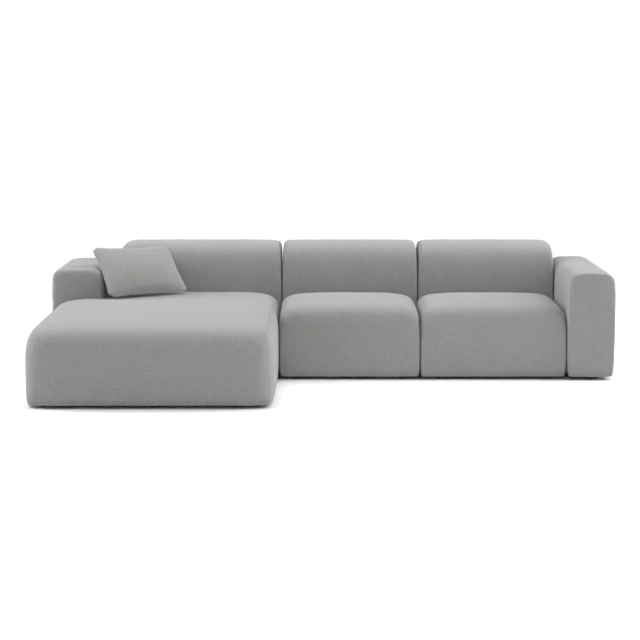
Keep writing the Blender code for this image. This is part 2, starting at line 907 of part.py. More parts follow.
def joining_plate(name, boundary, middle, across_y):
    """A steel plate with two raised pads that joins the frames on both sides of a boundary."""
    low, high = PLATE_FLOOR_CLEARANCE, PLATE_FLOOR_CLEARANCE + PLATE_THICKNESS
    seat_level = FRAME_BOTTOM - FIT
    outline = [
        (-PLATE_PAD_END, low),
        (PLATE_PAD_END, low),
        (PLATE_PAD_END, seat_level),
        (PLATE_PAD_START, seat_level),
        (PLATE_PAD_START, high),
        (-PLATE_PAD_START, high),
        (-PLATE_PAD_START, seat_level),
        (-PLATE_PAD_END, seat_level),
    ]
    turn = Matrix.Rotation(math.pi / 2, 4, "Z") if across_y else Matrix.Identity(4)
    place = (middle, boundary, 0) if across_y else (boundary, middle, 0)
    to_world = Matrix.Translation(place) @ turn
    return add_part(name, plate_blank(outline, PLATE_WIDTH, to_world), STEEL)


def hook_plate(name, boundary, middle):
    """A plate whose tongue reaches under the next module and ends in an upturned lip."""
    low = HOOK_FLOOR_CLEARANCE
    high = low + PLATE_THICKNESS
    seat_level = FRAME_BOTTOM - FIT
    outline = [
        (-PLATE_PAD_END, low),
        (HOOK_REACH, low),
        (HOOK_REACH, high + HOOK_LIP_HEIGHT),
        (HOOK_REACH - PLATE_THICKNESS, high + HOOK_LIP_HEIGHT),
        (HOOK_REACH - PLATE_THICKNESS, high),
        (-PLATE_PAD_START, high),
        (-PLATE_PAD_START, seat_level),
        (-PLATE_PAD_END, seat_level),
    ]
    to_world = Matrix.Translation((boundary, middle, 0))
    return add_part(name, plate_blank(outline, HOOK_WIDTH, to_world), STEEL)


def slot_plate(name, boundary, middle):
    """The plate that drops over the lip of its neighbour's hook."""
    low = HOOK_FLOOR_CLEARANCE + PLATE_THICKNESS + FIT
    high = low + PLATE_THICKNESS
    seat_level = FRAME_BOTTOM - FIT
    outline = [
        (PLATE_PAD_START, low),
        (HOOK_REACH + SLOT_EDGE, low),
        (HOOK_REACH + SLOT_EDGE, high),
        (PLATE_PAD_END, high),
        (PLATE_PAD_END, seat_level),
        (PLATE_PAD_START, seat_level),
    ]
    to_world = Matrix.Translation((boundary, middle, 0))
    part = add_part(name, plate_blank(outline, HOOK_WIDTH + 2 * SLOT_EDGE, to_world), STEEL)
    bm = bmesh.new()
    add_block(
        bm,
        Box(
            boundary + HOOK_REACH - PLATE_THICKNESS - SLOT_PLAY,
            boundary + HOOK_REACH + SLOT_PLAY,
            middle - HOOK_WIDTH / 2 - SLOT_PLAY,
            middle + HOOK_WIDTH / 2 + SLOT_PLAY,
            low - PLATE_THICKNESS,
            high + PLATE_THICKNESS,
        ),
    )
    combine(part, "DIFFERENCE", add_cutter(name + "_slot", bm))
    return part


# Scatter cushion
def cushion_cage(width, height, thickness, seam):
    """A pillow: full in the middle, thin at its seam and drawn in at its sides."""
    columns, rows = CUSHION_CELLS
    bm = lattice(columns, rows, 1, lambda middle: False)
    for vert in bm.verts:
        across = 2 * vert.co.x / columns - 1
        up = 2 * vert.co.y / rows - 1
        side = 2 * vert.co.z - 1
        edge = max(abs(across), abs(up)) == 1
        fullness = math.cos(across * math.pi / 2) ** 0.5 * math.cos(up * math.pi / 2) ** 0.5
        depth = seam / 2 if edge else seam / 2 + (thickness - seam) / 2 * fullness
        x = across * (width / 2 - CUSHION_WAIST * (1 - up * up))
        z = up * (height / 2 - CUSHION_WAIST * (1 - across * across))
        vert.co = (x, -side * depth, z)
    for face in bm.faces:
        face.smooth = True
    return bm


def cushion_matrix(place):
    """Leans the cushion back, then turns it into the corner."""
    lean = Matrix.Rotation(-CUSHION_LEAN, 4, "X")
    turn = Matrix.Rotation(CUSHION_TURN, 4, "Z")
    return Matrix.Translation(place) @ turn @ lean


def surface_of(part):
    bpy.context.view_layer.update()
    graph = bpy.context.evaluated_depsgraph_get()
    shape = part.evaluated_get(graph)
    mesh = shape.to_mesh()
    points = [part.matrix_world @ vert.co for vert in mesh.vertices]
    faces = [tuple(face.vertices) for face in mesh.polygons]
    shape.to_mesh_clear()
    return points, faces


def room_along(moving, still, direction):
    """How far the moving points and faces can travel before they meet the still ones."""
    room = math.inf
    still_tree = BVHTree.FromPolygons(*still)
    moving_tree = BVHTree.FromPolygons(*moving)
    for points, tree, way in ((moving[0], still_tree, direction), (still[0], moving_tree, -direction)):
        for point in points:
            hit = tree.ray_cast(point, way)
            if hit[0] is not None:
                room = min(room, hit[3])
    return room


def settle(cushion, neighbours):
    """Moves the cushion back into the corner, then down, until it rests on its neighbours."""
    still = [surface_of(neighbour) for neighbour in neighbours]
    back = Matrix.Rotation(CUSHION_TURN, 3, "Z") @ Vector((0, 1, 0))
    for direction in (Vector((0, 0, -1)), back, Vector((0, 0, -1))):
        moving = surface_of(cushion)
        room = min(room_along(moving, each, direction) for each in still)
        if room < math.inf:
            cushion.location += direction * (room - CUSHION_REST)
            bpy.context.view_layer.update()


def scatter_cushion(neighbours):
    size = (CUSHION_WIDTH, CUSHION_HEIGHT, CUSHION_THICKNESS, CUSHION_SEAM)
    outer = add_part("scatter_cushion_cover", cushion_cage(*size), FABRIC)
    subdivide(outer)
    start = Vector((LEFT_ARM_INNER + CUSHION_ACROSS, BACK_FRONT, SEAT_HEIGHT))
    start += Vector((0, -CUSHION_START_FORWARD, CUSHION_START_LIFT))
    outer.matrix_world = cushion_matrix(start)
    settle(outer, neighbours)
    margin = 2 * CUSHION_SEAM_MARGIN
    inner_size = (
        CUSHION_WIDTH - margin,
        CUSHION_HEIGHT - margin,
        CUSHION_THICKNESS - 2 * CUSHION_COVER_THICKNESS,
        CUSHION_SEAM - 2 * CUSHION_COVER_THICKNESS,
    )
    cavity = add_cutter("scatter_cushion_cavity", cushion_cage(*inner_size))
    subdivide(cavity)
    cavity.matrix_world = outer.matrix_world
    combine(outer, "DIFFERENCE", cavity)
    bm = bmesh.new()
    add_block(
        bm,
        Box(
            -CUSHION_ZIP_WIDTH / 2,
            CUSHION_ZIP_WIDTH / 2,
            -CUSHION_ZIP_OPENING / 2,
            CUSHION_ZIP_OPENING / 2,
            -CUSHION_HEIGHT / 2 - OVERRUN,
            -CUSHION_HEIGHT / 2 + margin + OVERRUN,
        ),
    )
    opening = add_cutter("scatter_cushion_zip_opening", bm)
    opening.matrix_world = outer.matrix_world
    combine(outer, "DIFFERENCE", opening)
    filling = add_part("scatter_cushion_filling", cushion_cage(*inner_size), FOAM)
    subdivide(filling)
    shrink(filling, LINING)
    filling.matrix_world = outer.matrix_world


# Modules
def chaise_module():
    seat_box = Box(
        CHAISE_LEFT,
        CHAISE_EDGE - MODULE_GAP / 2,
        FRONT,
        BACK_FRONT - FIT / 2,
        COVER_BOTTOM,
        SEAT_HEIGHT,
    )
    notch = Notch(LEFT_ARM_INNER + FIT / 2, LEFT_ARM_FRONT - FIT / 2)
    seat("chaise", seat_box, CHAISE_SOFTNESS, notch)
    back_box = Box(
        LEFT_ARM_INNER + FIT / 2,
        CHAISE_BACK_EDGE - MODULE_GAP / 2,
        BACK_FRONT + FIT / 2,
        REAR,
        COVER_BOTTOM,
        BACK_HEIGHT,
    )
    softness = BACK_SOFTNESS._replace(slope=LEFT_BACK_SLOPE)
    upright("left_back", back_box, softness, along_x=True)
    arm_box = Box(
        LEFT,
        LEFT_ARM_INNER - FIT / 2,
        LEFT_ARM_FRONT + FIT / 2,
        REAR,
        COVER_BOTTOM,
        LEFT_ARM_HEIGHT,
    )
    upright("left_arm", arm_box, LEFT_ARM_SOFTNESS, along_x=False)
    foot("chaise_foot_front_left", CHAISE_LEFT + FOOT_INSET, FRONT + FOOT_INSET)
    foot("chaise_foot_front_right", seat_box.right - FOOT_INSET, FRONT + FOOT_INSET)
    foot("chaise_foot_middle_left", CHAISE_LEFT + FOOT_INSET, notch.front - FOOT_INSET)
    foot("chaise_foot_rear_left", LEFT + FOOT_INSET, REAR - FOOT_INSET)
    foot("chaise_foot_rear_right", back_box.right - FOOT_INSET, REAR - FOOT_INSET)
    joining_plate(
        "left_back_plate", BACK_FRONT, (back_box.left + back_box.right) / 2, across_y=True
    )
    joining_plate("left_arm_plate", LEFT_ARM_INNER, (notch.front + BACK_FRONT) / 2, across_y=False)
    hook_plate("chaise_hook_plate", CHAISE_EDGE, SEAT_FRONT + HOOK_FROM_FRONT)


def middle_module():
    seat_box = Box(
        CHAISE_EDGE + MODULE_GAP / 2,
        SEAT_EDGE - MODULE_GAP / 2,
        SEAT_FRONT,
        BACK_FRONT - FIT / 2,
        COVER_BOTTOM,
        SEAT_HEIGHT,
    )
    seat("middle_seat", seat_box, SEAT_SOFTNESS)
    back_box = seat_box._replace(
        left=CHAISE_BACK_EDGE + MODULE_GAP / 2,
        right=MIDDLE_BACK_EDGE - MODULE_GAP / 2,
        front=BACK_FRONT + FIT / 2,
        rear=REAR,
        top=BACK_HEIGHT,
    )
    upright("middle_back", back_box, BACK_SOFTNESS, along_x=True)
    foot("middle_foot_front_left", seat_box.left + FOOT_INSET, SEAT_FRONT + FOOT_INSET)
    foot("middle_foot_front_right", seat_box.right - FOOT_INSET, SEAT_FRONT + FOOT_INSET)
    foot("middle_foot_rear_left", back_box.left + FOOT_INSET, REAR - FOOT_INSET)
    foot("middle_foot_rear_right", back_box.right - FOOT_INSET, REAR - FOOT_INSET)
    joining_plate(
        "middle_back_plate", BACK_FRONT, (seat_box.left + seat_box.right) / 2, across_y=True
    )
    slot_plate("middle_slot_plate", CHAISE_EDGE, SEAT_FRONT + HOOK_FROM_FRONT)
    hook_plate("middle_hook_plate", SEAT_EDGE, SEAT_FRONT + HOOK_FROM_FRONT)


def right_module():
    seat_box = Box(
        SEAT_EDGE + MODULE_GAP / 2,
        RIGHT_ARM_INNER - FIT / 2,
        SEAT_FRONT,
        BACK_FRONT - FIT / 2,
        COVER_BOTTOM,
        SEAT_HEIGHT,
    )
    seat("right_seat", seat_box, SEAT_SOFTNESS)
    back_box = seat_box._replace(
        left=MIDDLE_BACK_EDGE + MODULE_GAP / 2,
        front=BACK_FRONT + FIT / 2,
        rear=REAR,
        top=BACK_HEIGHT,
    )
    upright("right_back", back_box, BACK_SOFTNESS, along_x=True)
    arm_box = Box(
        RIGHT_ARM_INNER + FIT / 2, RIGHT, RIGHT_ARM_FRONT, REAR, COVER_BOTTOM, RIGHT_ARM_HEIGHT
    )
    upright("right_arm", arm_box, RIGHT_ARM_SOFTNESS, along_x=False)
    foot("right_foot_front_left", seat_box.left + FOOT_INSET, SEAT_FRONT + FOOT_INSET)
    foot("right_foot_front_right", RIGHT - FOOT_INSET, RIGHT_ARM_FRONT + FOOT_INSET)
    foot("right_foot_rear_left", back_box.left + FOOT_INSET, REAR - FOOT_INSET)
    foot("right_foot_rear_right", RIGHT - FOOT_INSET, REAR - FOOT_INSET)
    joining_plate(
        "right_back_plate", BACK_FRONT, (back_box.left + back_box.right) / 2, across_y=True
    )
    joining_plate("right_arm_plate", RIGHT_ARM_INNER, (SEAT_FRONT + BACK_FRONT) / 2, across_y=False)
    slot_plate("right_slot_plate", SEAT_EDGE, SEAT_FRONT + HOOK_FROM_FRONT)


clear_scene()
PARTS = new_collection("corner_sofa")
CUTTERS = new_collection("cutters")
chaise_module()
middle_module()
right_module()
scatter_cushion([bpy.data.objects[name + "_cover"] for name in ("chaise", "left_back", "left_arm")])
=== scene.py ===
"""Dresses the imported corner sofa: sewn covers, foam, cushion, underside, hardware and the studio.

Every cover is made from the same coarse cage as its solid, taken to a smooth skin, so it closes
over the foam and frame that the frame file brings. Lengths are in metres.
"""

import math
from collections import namedtuple

import bmesh
import bpy
import numpy as np
from bpy.props import FloatProperty, FloatVectorProperty, IntProperty, PointerProperty
from bpy.types import Operator, Panel, PropertyGroup
from mathutils import Matrix, Vector
from mathutils.bvhtree import BVHTree
from mathutils.kdtree import KDTree


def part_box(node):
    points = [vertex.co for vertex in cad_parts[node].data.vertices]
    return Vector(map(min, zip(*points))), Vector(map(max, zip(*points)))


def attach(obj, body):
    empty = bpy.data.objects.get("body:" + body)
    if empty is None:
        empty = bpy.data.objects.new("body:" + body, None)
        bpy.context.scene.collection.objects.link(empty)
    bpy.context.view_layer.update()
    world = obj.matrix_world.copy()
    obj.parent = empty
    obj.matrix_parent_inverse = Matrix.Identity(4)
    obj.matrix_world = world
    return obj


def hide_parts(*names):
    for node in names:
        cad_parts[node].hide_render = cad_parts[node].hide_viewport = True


bl_info = {
    "name": "Corner sofa upholstery",
    "version": (1, 0, 0),
    "blender": (4, 5, 0),
    "location": "3D view, sidebar, Sofa",
    "description": "Sewn covers, cushion and studio for the corner sofa",
    "category": "Object",
}

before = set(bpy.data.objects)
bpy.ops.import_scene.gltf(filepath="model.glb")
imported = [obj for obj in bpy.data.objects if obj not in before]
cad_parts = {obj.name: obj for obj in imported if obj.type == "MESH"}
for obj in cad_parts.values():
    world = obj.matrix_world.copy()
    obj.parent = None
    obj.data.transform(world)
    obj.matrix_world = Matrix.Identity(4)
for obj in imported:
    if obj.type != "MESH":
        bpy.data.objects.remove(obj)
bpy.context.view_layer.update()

# Softness of each kind of element, as in the solids
Softness = namedtuple(
    "Softness",
    "rise corner flank brow nape shoulder side_shoulder drop draw lean slope",
    defaults=[0, 0],
)
SEAT = Softness(0.026, 0.022, 0.19, 0.16, 0.05, 0.15, 0.12, 0.012, 0.004)
CHAISE = Softness(0.026, 0.20, 0.21, 0.26, 0, 0.19, 0.15, 0.012, 0.012)
BACK = Softness(0.026, 0.022, 0.068, 0.17, 0.10, 0.20, 0.068, 0.004, 0.008, 0.03)
END_BACK = BACK._replace(slope=0.065)
LEFT_ARM = Softness(0.045, 0.045, 0.115, 0.05, 0.12, 0.055, 0.115, 0.004, 0.004)
RIGHT_ARM = Softness(0.055, 0.03, 0.125, 0.05, 0.035, 0.05, 0.135, 0.002, 0.004)

# Tucked-in base of every cage, a little fuller than in the solids
TUCK = 0.008
TUCK_EDGE = 0.022
BASE_CORNER_SHARE = 0.16
BASE_LINE_SHARE = 0.18
SOFT_CELLS = 3

# Covers, foam and linings
FIT = 0.0003
FLANGE_WIDTH = 0.037
COVER_THICKNESS = 0.003
NEST_GAP = 0.0005
FOAM_SMOOTHNESS = 3
LIFT_DEPTH = 0.12
WELT_STEP = 0.006
LINING_STEP = 0.05

# Names of what the meshes carry for the materials
WEAVE_MAP = "weave"
LATTICE = "lattice"
SEAM_DISTANCE = "seam_distance"
SEAM_ALONG = "seam_along"
FAR_FROM_SEAM = 0.08
SEAM_STEP = 0.002

# Cushion: its panels, their fullness before they are filled, and how far the filling goes
CUSHION_SEAM = 0.008
CUSHION_CELLS = (44, 32)
CUSHION_CROWN = 0.9
CUSHION_FRAMES = 8
CUSHION_REACH = 0.012
CUSHION_WELT_STEP = 0.004
REST_GAP = 0.001
REST_SEARCH = 0.08

# Studio
SOFTBOX_AIM = (0, 0.3, 0.3)
SOFTBOX_DISTANCE = 7
BACKDROP_RADIUS = 40
WHITE_BELOW = math.radians(3.5)
DARK_ABOVE = math.radians(8)

# Lengths in the finishes
STITCH_INSET = 0.006
GATHER_LENGTH = 0.031
RIB_PITCH = 0.003

Box = namedtuple("Box", "left right front rear bottom top")
Notch = namedtuple("Notch", "right front")
Element = namedtuple("Element", "name body soft seams welts")

SIDE_SEAMS = [
    [(0, 0, 0), (0, 0, 3), (0, 3, 3), (0, 3, 0)],
    [(3, 0, 0), (3, 0, 3), (3, 3, 3), (3, 3, 0)],
]
CHAISE_SEAMS = [
    [(0, 0, 0), (0, 0, 3), (0, 3, 3)],
    [(4, 0, 0), (4, 0, 3), (4, 4, 3)],
]
PANEL_SEAMS = [
    [(0, 0, 0), (0, 0, 3), (3, 0, 3), (3, 0, 0)],
    [(0, 3, 0), (0, 3, 3), (3, 3, 3), (3, 3, 0)],
]
FRONT_EDGE = [(0, 0, 3), (3, 0, 3)]
SEATS = [
    Element("chaise", "chaise_module", CHAISE, CHAISE_SEAMS, []),
    Element("middle_seat", "middle_module", SEAT, SIDE_SEAMS, []),
    Element("right_seat", "right_module", SEAT, SIDE_SEAMS, []),
]
BACKS = [
    Element("left_back", "chaise_module", END_BACK, SIDE_SEAMS, []),
    Element("middle_back", "middle_module", BACK, SIDE_SEAMS, []),
    Element("right_back", "right_module", BACK, SIDE_SEAMS, []),
]
ARMS = [
    Element("left_arm", "chaise_module", LEFT_ARM, PANEL_SEAMS, []),
    Element("right_arm", "right_module", RIGHT_ARM, PANEL_SEAMS, [FRONT_EDGE]),
]


# Settings
def metres(name, description, default, low=0):
    return FloatProperty(
        name=name, description=description, default=default, min=low, unit="LENGTH"
    )


def watts(name, description, default):
    return FloatProperty(name=name, description=description, default=default, min=0, unit="POWER")


def degrees(name, description, default):
    return FloatProperty(
        name=name, description=description, default=math.radians(default), subtype="ANGLE"
    )


def thread_colour(name, description, default):
    return FloatVectorProperty(
        name=name,
        description=description,
        default=default,
        subtype="COLOR",
        size=4,
        min=0,
        max=1,
    )


class FabricSettings(PropertyGroup):
    light: thread_colour(
        "Light thread", "Colour of the lighter threads of the weave", (0.288, 0.288, 0.288, 1)
    )
    dark: thread_colour(
        "Dark thread", "Colour of the darker threads of the weave", (0.206, 0.206, 0.207, 1)
    )
    pitch: metres(
        "Weave pitch", "Width of one warp and one weft thread together", 0.0022, low=0.0005
    )
    slub_length: metres(
        "Slub length", "Usual length of a thicker stretch of thread", 0.055, low=0.002
    )
    slub_width: metres(
        "Slub width", "Usual width of a thicker stretch of thread", 0.008, low=0.0005
    )
    stitch_length: metres(
        "Stitch length", "Distance from one stitch of the seams to the next", 0.006, low=0.001
    )
    sheen: FloatProperty(
        name="Sheen",
        description="Soft light that the fibres catch at a glancing angle",
        default=0.25,
        min=0,
        max=1,
        subtype="FACTOR",
    )


class CoverSettings(PropertyGroup):
    smoothness: IntProperty(
        name="Smoothness",
        description="Times that each coarse cage is subdivided",
        default=4,
        min=1,
        max=5,
    )
    welt_radius: metres(
        "Welt radius", "Radius of the piping along the right arm's front edge", 0.0024, low=0.0005
    )
    unevenness: metres("Unevenness", "How far the wadding lifts or lowers the cover", 0.0008)
    unevenness_length: metres(
        "Unevenness length", "Distance from one rise of the wadding to the next", 0.21, low=0.02
    )
    lift: metres("Lift", "How far the seats rise towards the backs", 0.005)
    lining_sag: metres("Lining sag", "How far the dust cloths hang in the middle", 0.003)


class CushionSettings(PropertyGroup):
    width: metres("Width", "Width of the filled cushion", 0.502, low=0.1)
    height: metres("Height", "Height of the filled cushion", 0.335, low=0.1)
    thickness: metres("Thickness", "Thickness of the filled cushion in its middle", 0.15, low=0.02)
    waist: metres("Waist", "How far the sides of the panels are cut in between the corners", 0.003)
    corner: metres(
        "Corner", "How far the corners of the panels are cut in, which rounds them", 0.016
    )
    pressure: FloatProperty(
        name="Filling pressure",
        description="Pressure that rounds the panels out",
        default=4.0,
        min=0,
    )
    slump: FloatProperty(
        name="Slump",
        description="Share of its fullness that the filling moves from the top to the bottom",
        default=0.12,
        min=0,
        max=0.5,
    )
    taper: FloatVectorProperty(
        name="Taper",
        description="Share by which the top edge is the narrower, and the right edge the lower",
        default=(0.029, 0.026),
        size=2,
    )
    ear: metres("Ear", "How far the upper left corner is drawn out", 0.016)
    turn: degrees("Turn", "How far the cushion is turned into the corner", 35.1)
    lean: degrees("Lean", "How far the cushion leans back", 40)
    roll: degrees("Roll", "How far the cushion has rolled to its right", 1.45)
    sink: FloatVectorProperty(
        name="Sink",
        description="How far the cushion settles from the middle of its solid",
        default=(0.0049, 0.0254, 0.0115),
        subtype="TRANSLATION",
        unit="LENGTH",
    )
    welt_radius: metres("Welt radius", "Radius of the sewn edge of the cushion", 0.0026, low=0.0005)


class StudioSettings(PropertyGroup):
    camera_place: FloatVectorProperty(
        name="Camera place",
        description="Where the camera stands",
        default=(-0.056, -9.6125, 1.716),
        subtype="TRANSLATION",
        unit="LENGTH",
    )
    camera_tilt: degrees("Camera tilt", "How far the camera looks down", 8.15)
    lens: FloatProperty(
        name="Lens",
        description="Focal length for a 36 mm sensor",
        default=95.79,
        min=10,
        subtype="DISTANCE_CAMERA",
    )
    floor_radius: metres(
        "Floor radius", "Radius of the floor, which fades out at its edge", 5.0, low=2
    )
    left_power: watts("Left softbox", "Power of the tall light on the sofa's left", 490)
    right_power: watts("Right softbox", "Power of the tall light on the sofa's right", 528)
    top_power: watts("Top softbox", "Power of the wide light over the sofa", 450)
    front_power: watts("Front softbox", "Power of the low light in front of the sofa", 83)
    fill_power: watts("Fill light", "Power of the light in front that spares the floor", 83)
    floor_power: watts("Floor light", "Power of the light that keeps the floor pale", 215)


class SofaSettings(PropertyGroup):
    fabric: PointerProperty(type=FabricSettings)
    cover: PointerProperty(type=CoverSettings)
    cushion: PointerProperty(type=CushionSettings)
    studio: PointerProperty(type=StudioSettings)


# Cages shared with the solids
def node_box(name):
    low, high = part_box(name)
    return Box(low.x, high.x, low.y, high.y, low.z, high.z)


def element_box(name):
    """The box of an element's cage, which the solid's own box gives but for a sloped end."""
    box = node_box(name + "_cover")
    if name == "left_back":
        box = box._replace(left=node_box("left_arm_cover").right + FIT)
    return box


def element_notch(name):
    if name != "chaise":
        return None
    arm = node_box("left_arm_cover")
    return Notch(arm.right + FIT, arm.front - FIT)


def inset_box(box, inset):
    return Box(
        box.left + inset,
        box.right - inset,
        box.front + inset,
        box.rear - inset,
        box.bottom + inset,
        box.top - inset,
    )


def inset_notch(notch, inset):
    return notch and Notch(notch.right + inset, notch.front - inset)


def lattice(columns, rows, levels, left_out):
    """A block of cells with whole numbers for corners, less the columns that left_out names."""
    bm = bmesh.new()
    bmesh.ops.create_grid(bm, x_segments=columns, y_segments=rows, size=1)
    for vert in bm.verts:
        vert.co.x = round((vert.co.x + 1) * columns / 2)
        vert.co.y = round((vert.co.y + 1) * rows / 2)
    spare = [face for face in bm.faces if left_out(face.calc_center_median())]
    bmesh.ops.delete(bm, geom=spare, context="FACES")
    top = bm.faces[:]
    for level in range(1, levels + 1):
        made = bmesh.ops.extrude_face_region(bm, geom=top)["geom"]
        if level > 1:
            bmesh.ops.delete(bm, geom=top, context="FACES")
        top = [item for item in made if isinstance(item, bmesh.types.BMFace)]
        for vert in made:
            if isinstance(vert, bmesh.types.BMVert):
                vert.co.z = level
    bmesh.ops.recalc_face_normals(bm, faces=bm.faces)
    return bm


def wall_lines(low, high, near, far, notch):
    lines = [low, low + near, high - far, high]
    return lines[:2] + notch + lines[2:]


def notched_lines(box, near, beside, notch):
    return [box.front, box.front + near, notch.front - beside, notch.front, box.rear]


def is_hard(place):
    """Whether a corner of the notched lattice lies along the notch or the rear."""
    i, j, _ = place
    return (i <= 2 and j == 3) or (i == 2 and j >= 3) or j == 4


def soft_cage(box, soft, notch=None):
    """The coarse cage of a padded block: tucked in below, upright, and rounded over its top."""
    last_line = SOFT_CELLS + bool(notch)
    across_notch = [notch.right] if notch else []
    tuck = max(TUCK + TUCK_EDGE, BASE_LINE_SHARE * soft.corner)
    x_wall = wall_lines(box.left, box.right, soft.corner, soft.corner, across_notch)
    x_top = wall_lines(box.left, box.right, soft.slope + soft.flank, soft.flank, across_notch)
    x_base = wall_lines(box.left, box.right, tuck, tuck, across_notch)
    if notch:
        y_wall = notched_lines(box, soft.corner, soft.corner, notch)
        y_top = notched_lines(box, soft.brow, soft.corner, notch)
        y_base = notched_lines(box, tuck, tuck, notch)
    else:
        y_wall = wall_lines(box.front, box.rear, soft.corner, soft.corner, [])
        y_top = wall_lines(box.front, box.rear, soft.lean + soft.brow, soft.nape, [])
        y_base = wall_lines(box.front, box.rear, tuck, tuck, [])
    levels = [box.bottom, box.bottom + soft.rise, box.top - soft.side_shoulder, box.top]
    front_fall = soft.shoulder - soft.side_shoulder

    def left_out(middle):
        return bool(notch) and middle.x < 2 and middle.y > 3

    def place(i, j, k):
        on_left = i == 0
        on_right = i == last_line
        on_front = j == 0
        on_rear = j == last_line
        if k == 0:
            at_corner = (on_left or on_right) and (on_front or (on_rear and not notch))
            inward = TUCK + BASE_CORNER_SHARE * soft.corner * at_corner
            inward_x = inward * (on_left - on_right)
            inward_y = inward * (on_front - on_rear * (not notch))
            return Vector((x_base[i] + inward_x, y_base[j] + inward_y, levels[k]))
        if k < SOFT_CELLS:
            fall = front_fall * on_front * (k - 1)
            if on_left or on_right:
                fall /= 2
            fall += soft.slope * on_left * (k - 1)
            return Vector((x_wall[i], y_wall[j], levels[k] - fall))
        soft_rear = on_rear and not notch and soft.lean
        sides = on_left + on_right + on_front + bool(soft_rear)
        inward_x = (soft.draw + soft.slope) * on_left - soft.draw * on_right
        inward_y = (soft.draw + soft.lean) * on_front - soft.draw * bool(soft_rear)
        return Vector((x_top[i] + inward_x, y_top[j] + inward_y, levels[k] - soft.drop * sides))

    bm = lattice(last_line, last_line, SOFT_CELLS, left_out)
    corners = bm.verts.layers.float_vector.new(LATTICE)
    crease = bm.edges.layers.float.new("crease_edge")
    places = {vert: tuple(round(part) for part in vert.co) for vert in bm.verts}
    if notch:
        for edge in bm.edges:
            if all(is_hard(places[vert]) for vert in edge.verts):
                edge[crease] = 1
    for vert in bm.verts:
        vert[corners] = Vector(places[vert])
        vert.co = place(*places[vert])
    for face in bm.faces:
        face.smooth = True
    return bm


# Object helpers
def add_object(name, data):
    made = bpy.data.objects.new(name, data)
    bpy.context.scene.collection.objects.link(made)
    return made


def add_mesh(name, bm):
    mesh = bpy.data.meshes.new(name)
    bm.to_mesh(mesh)
    bm.free()
    return add_object(name, mesh)


def evaluated_mesh(piece):
    bpy.context.view_layer.update()
    graph = bpy.context.evaluated_depsgraph_get()
    return bpy.data.meshes.new_from_object(piece.evaluated_get(graph))


def apply_modifiers(piece):
    mesh = evaluated_mesh(piece)
    piece.modifiers.clear()
    old = piece.data
    piece.data = mesh
    bpy.data.meshes.remove(old)


def subdivide(piece, levels):
    smooth = piece.modifiers.new("smooth", "SUBSURF")
    smooth.levels = levels
    smooth.render_levels = levels
    apply_modifiers(piece)


def smooth_form(name, box, soft, notch, levels):
    """An object with the smooth skin of a cage."""
    piece = add_mesh(name, soft_cage(box, soft, notch))
    subdivide(piece, levels)
    return piece


def dress(mesh, material):
    mesh.materials.clear()
    mesh.materials.append(material)


def vertex_array(mesh, name):
    values = np.zeros(len(mesh.vertices) * 3)
    if name in ("co", "normal"):
        mesh.vertices.foreach_get(name, values)
    else:
        mesh.attributes[name].data.foreach_get("vector", values)
    return values.reshape(-1, 3)


def move_vertices(mesh, places):
    mesh.vertices.foreach_set("co", places.ravel())
    mesh.update()


def store(mesh, name, values):
    layer = mesh.attributes.new(name, "FLOAT", "POINT")
    layer.data.foreach_set("value", np.asarray(values, dtype=np.float32))


def lattice_line(corners, start, end):
    """Numbers of the vertices on the straight lattice line from start to end, in order."""
    start, end = np.array(start, dtype=float), np.array(end, dtype=float)
    span = end - start
    length = np.abs(span).sum()
    share = (corners - start) @ span / length**2
    nearest = start + np.outer(share, span)
    on_line = np.abs(corners - nearest).max(axis=1) < 0.001
    on_line &= (share > -0.001) & (share < 1.001)
    found = np.nonzero(on_line)[0]
    return found[np.argsort(share[found])]


def seam_route(mesh, route):
    """The points of a seam that follows the lattice from corner to corner of route."""
    corners = vertex_array(mesh, LATTICE)
    places = vertex_array(mesh, "co")
    points = []
    for start, end in zip(route, route[1:]):
        stretch = [Vector(places[number]) for number in lattice_line(corners, start, end)]
        points += stretch[1:] if points else stretch
    return points


def even_points(points, step):
    """The points of a line at even steps, with their distances along it."""
    places = np.array([tuple(point) for point in points])
    lengths = np.linalg.norm(np.diff(places, axis=0), axis=1)
    along = np.concatenate([[0], np.cumsum(lengths)])
    wanted = np.arange(0, along[-1], step)
    made = np.stack([np.interp(wanted, along, places[:, axis]) for axis in range(3)], axis=1)
    return made, wanted


def welt_points(mesh, route, step):
    return [Vector(point) for point in even_points(seam_route(mesh, route), step)[0]]


def mark_seams(mesh, routes, hem_height):
    """Stores how far every vertex is from the nearest seam, and how far along that seam."""
    made, along = [], []
    for route in routes:
        points, distances = even_points(seam_route(mesh, route), SEAM_STEP)
        made += list(points)
        along += list(distances)
    tree = KDTree(len(made))
    for number, point in enumerate(made):
        tree.insert(point, number)
    tree.balance()
    distance, place_along = [], []
    for vertex in mesh.vertices:
        _, nearest, gap = tree.find(vertex.co)
        hem_gap = abs(vertex.co.z - hem_height)
        if hem_gap < gap:
            distance.append(min(hem_gap, FAR_FROM_SEAM))
            place_along.append(vertex.co.x + vertex.co.y)
        else:
            distance.append(min(gap, FAR_FROM_SEAM))
            place_along.append(along[nearest])
    store(mesh, SEAM_DISTANCE, distance)
    store(mesh, SEAM_ALONG, place_along)


def map_weave(mesh):
    """Lays the weave flat on whichever side each face looks to, in metres."""
    layer = mesh.uv_layers.new(name=WEAVE_MAP)
    places = vertex_array(mesh, "co")
    flat = np.zeros((len(mesh.loops), 2))
    for face in mesh.polygons:
        normal = [abs(part) for part in face.normal]
        away = normal.index(max(normal))
        across, up = [(1, 2), (0, 2), (0, 1)][away]
        for loop in face.loop_indices:
            place = places[mesh.loops[loop].vertex_index]
            flat[loop] = place[across], place[up]
    layer.data.foreach_set("uv", flat.ravel())


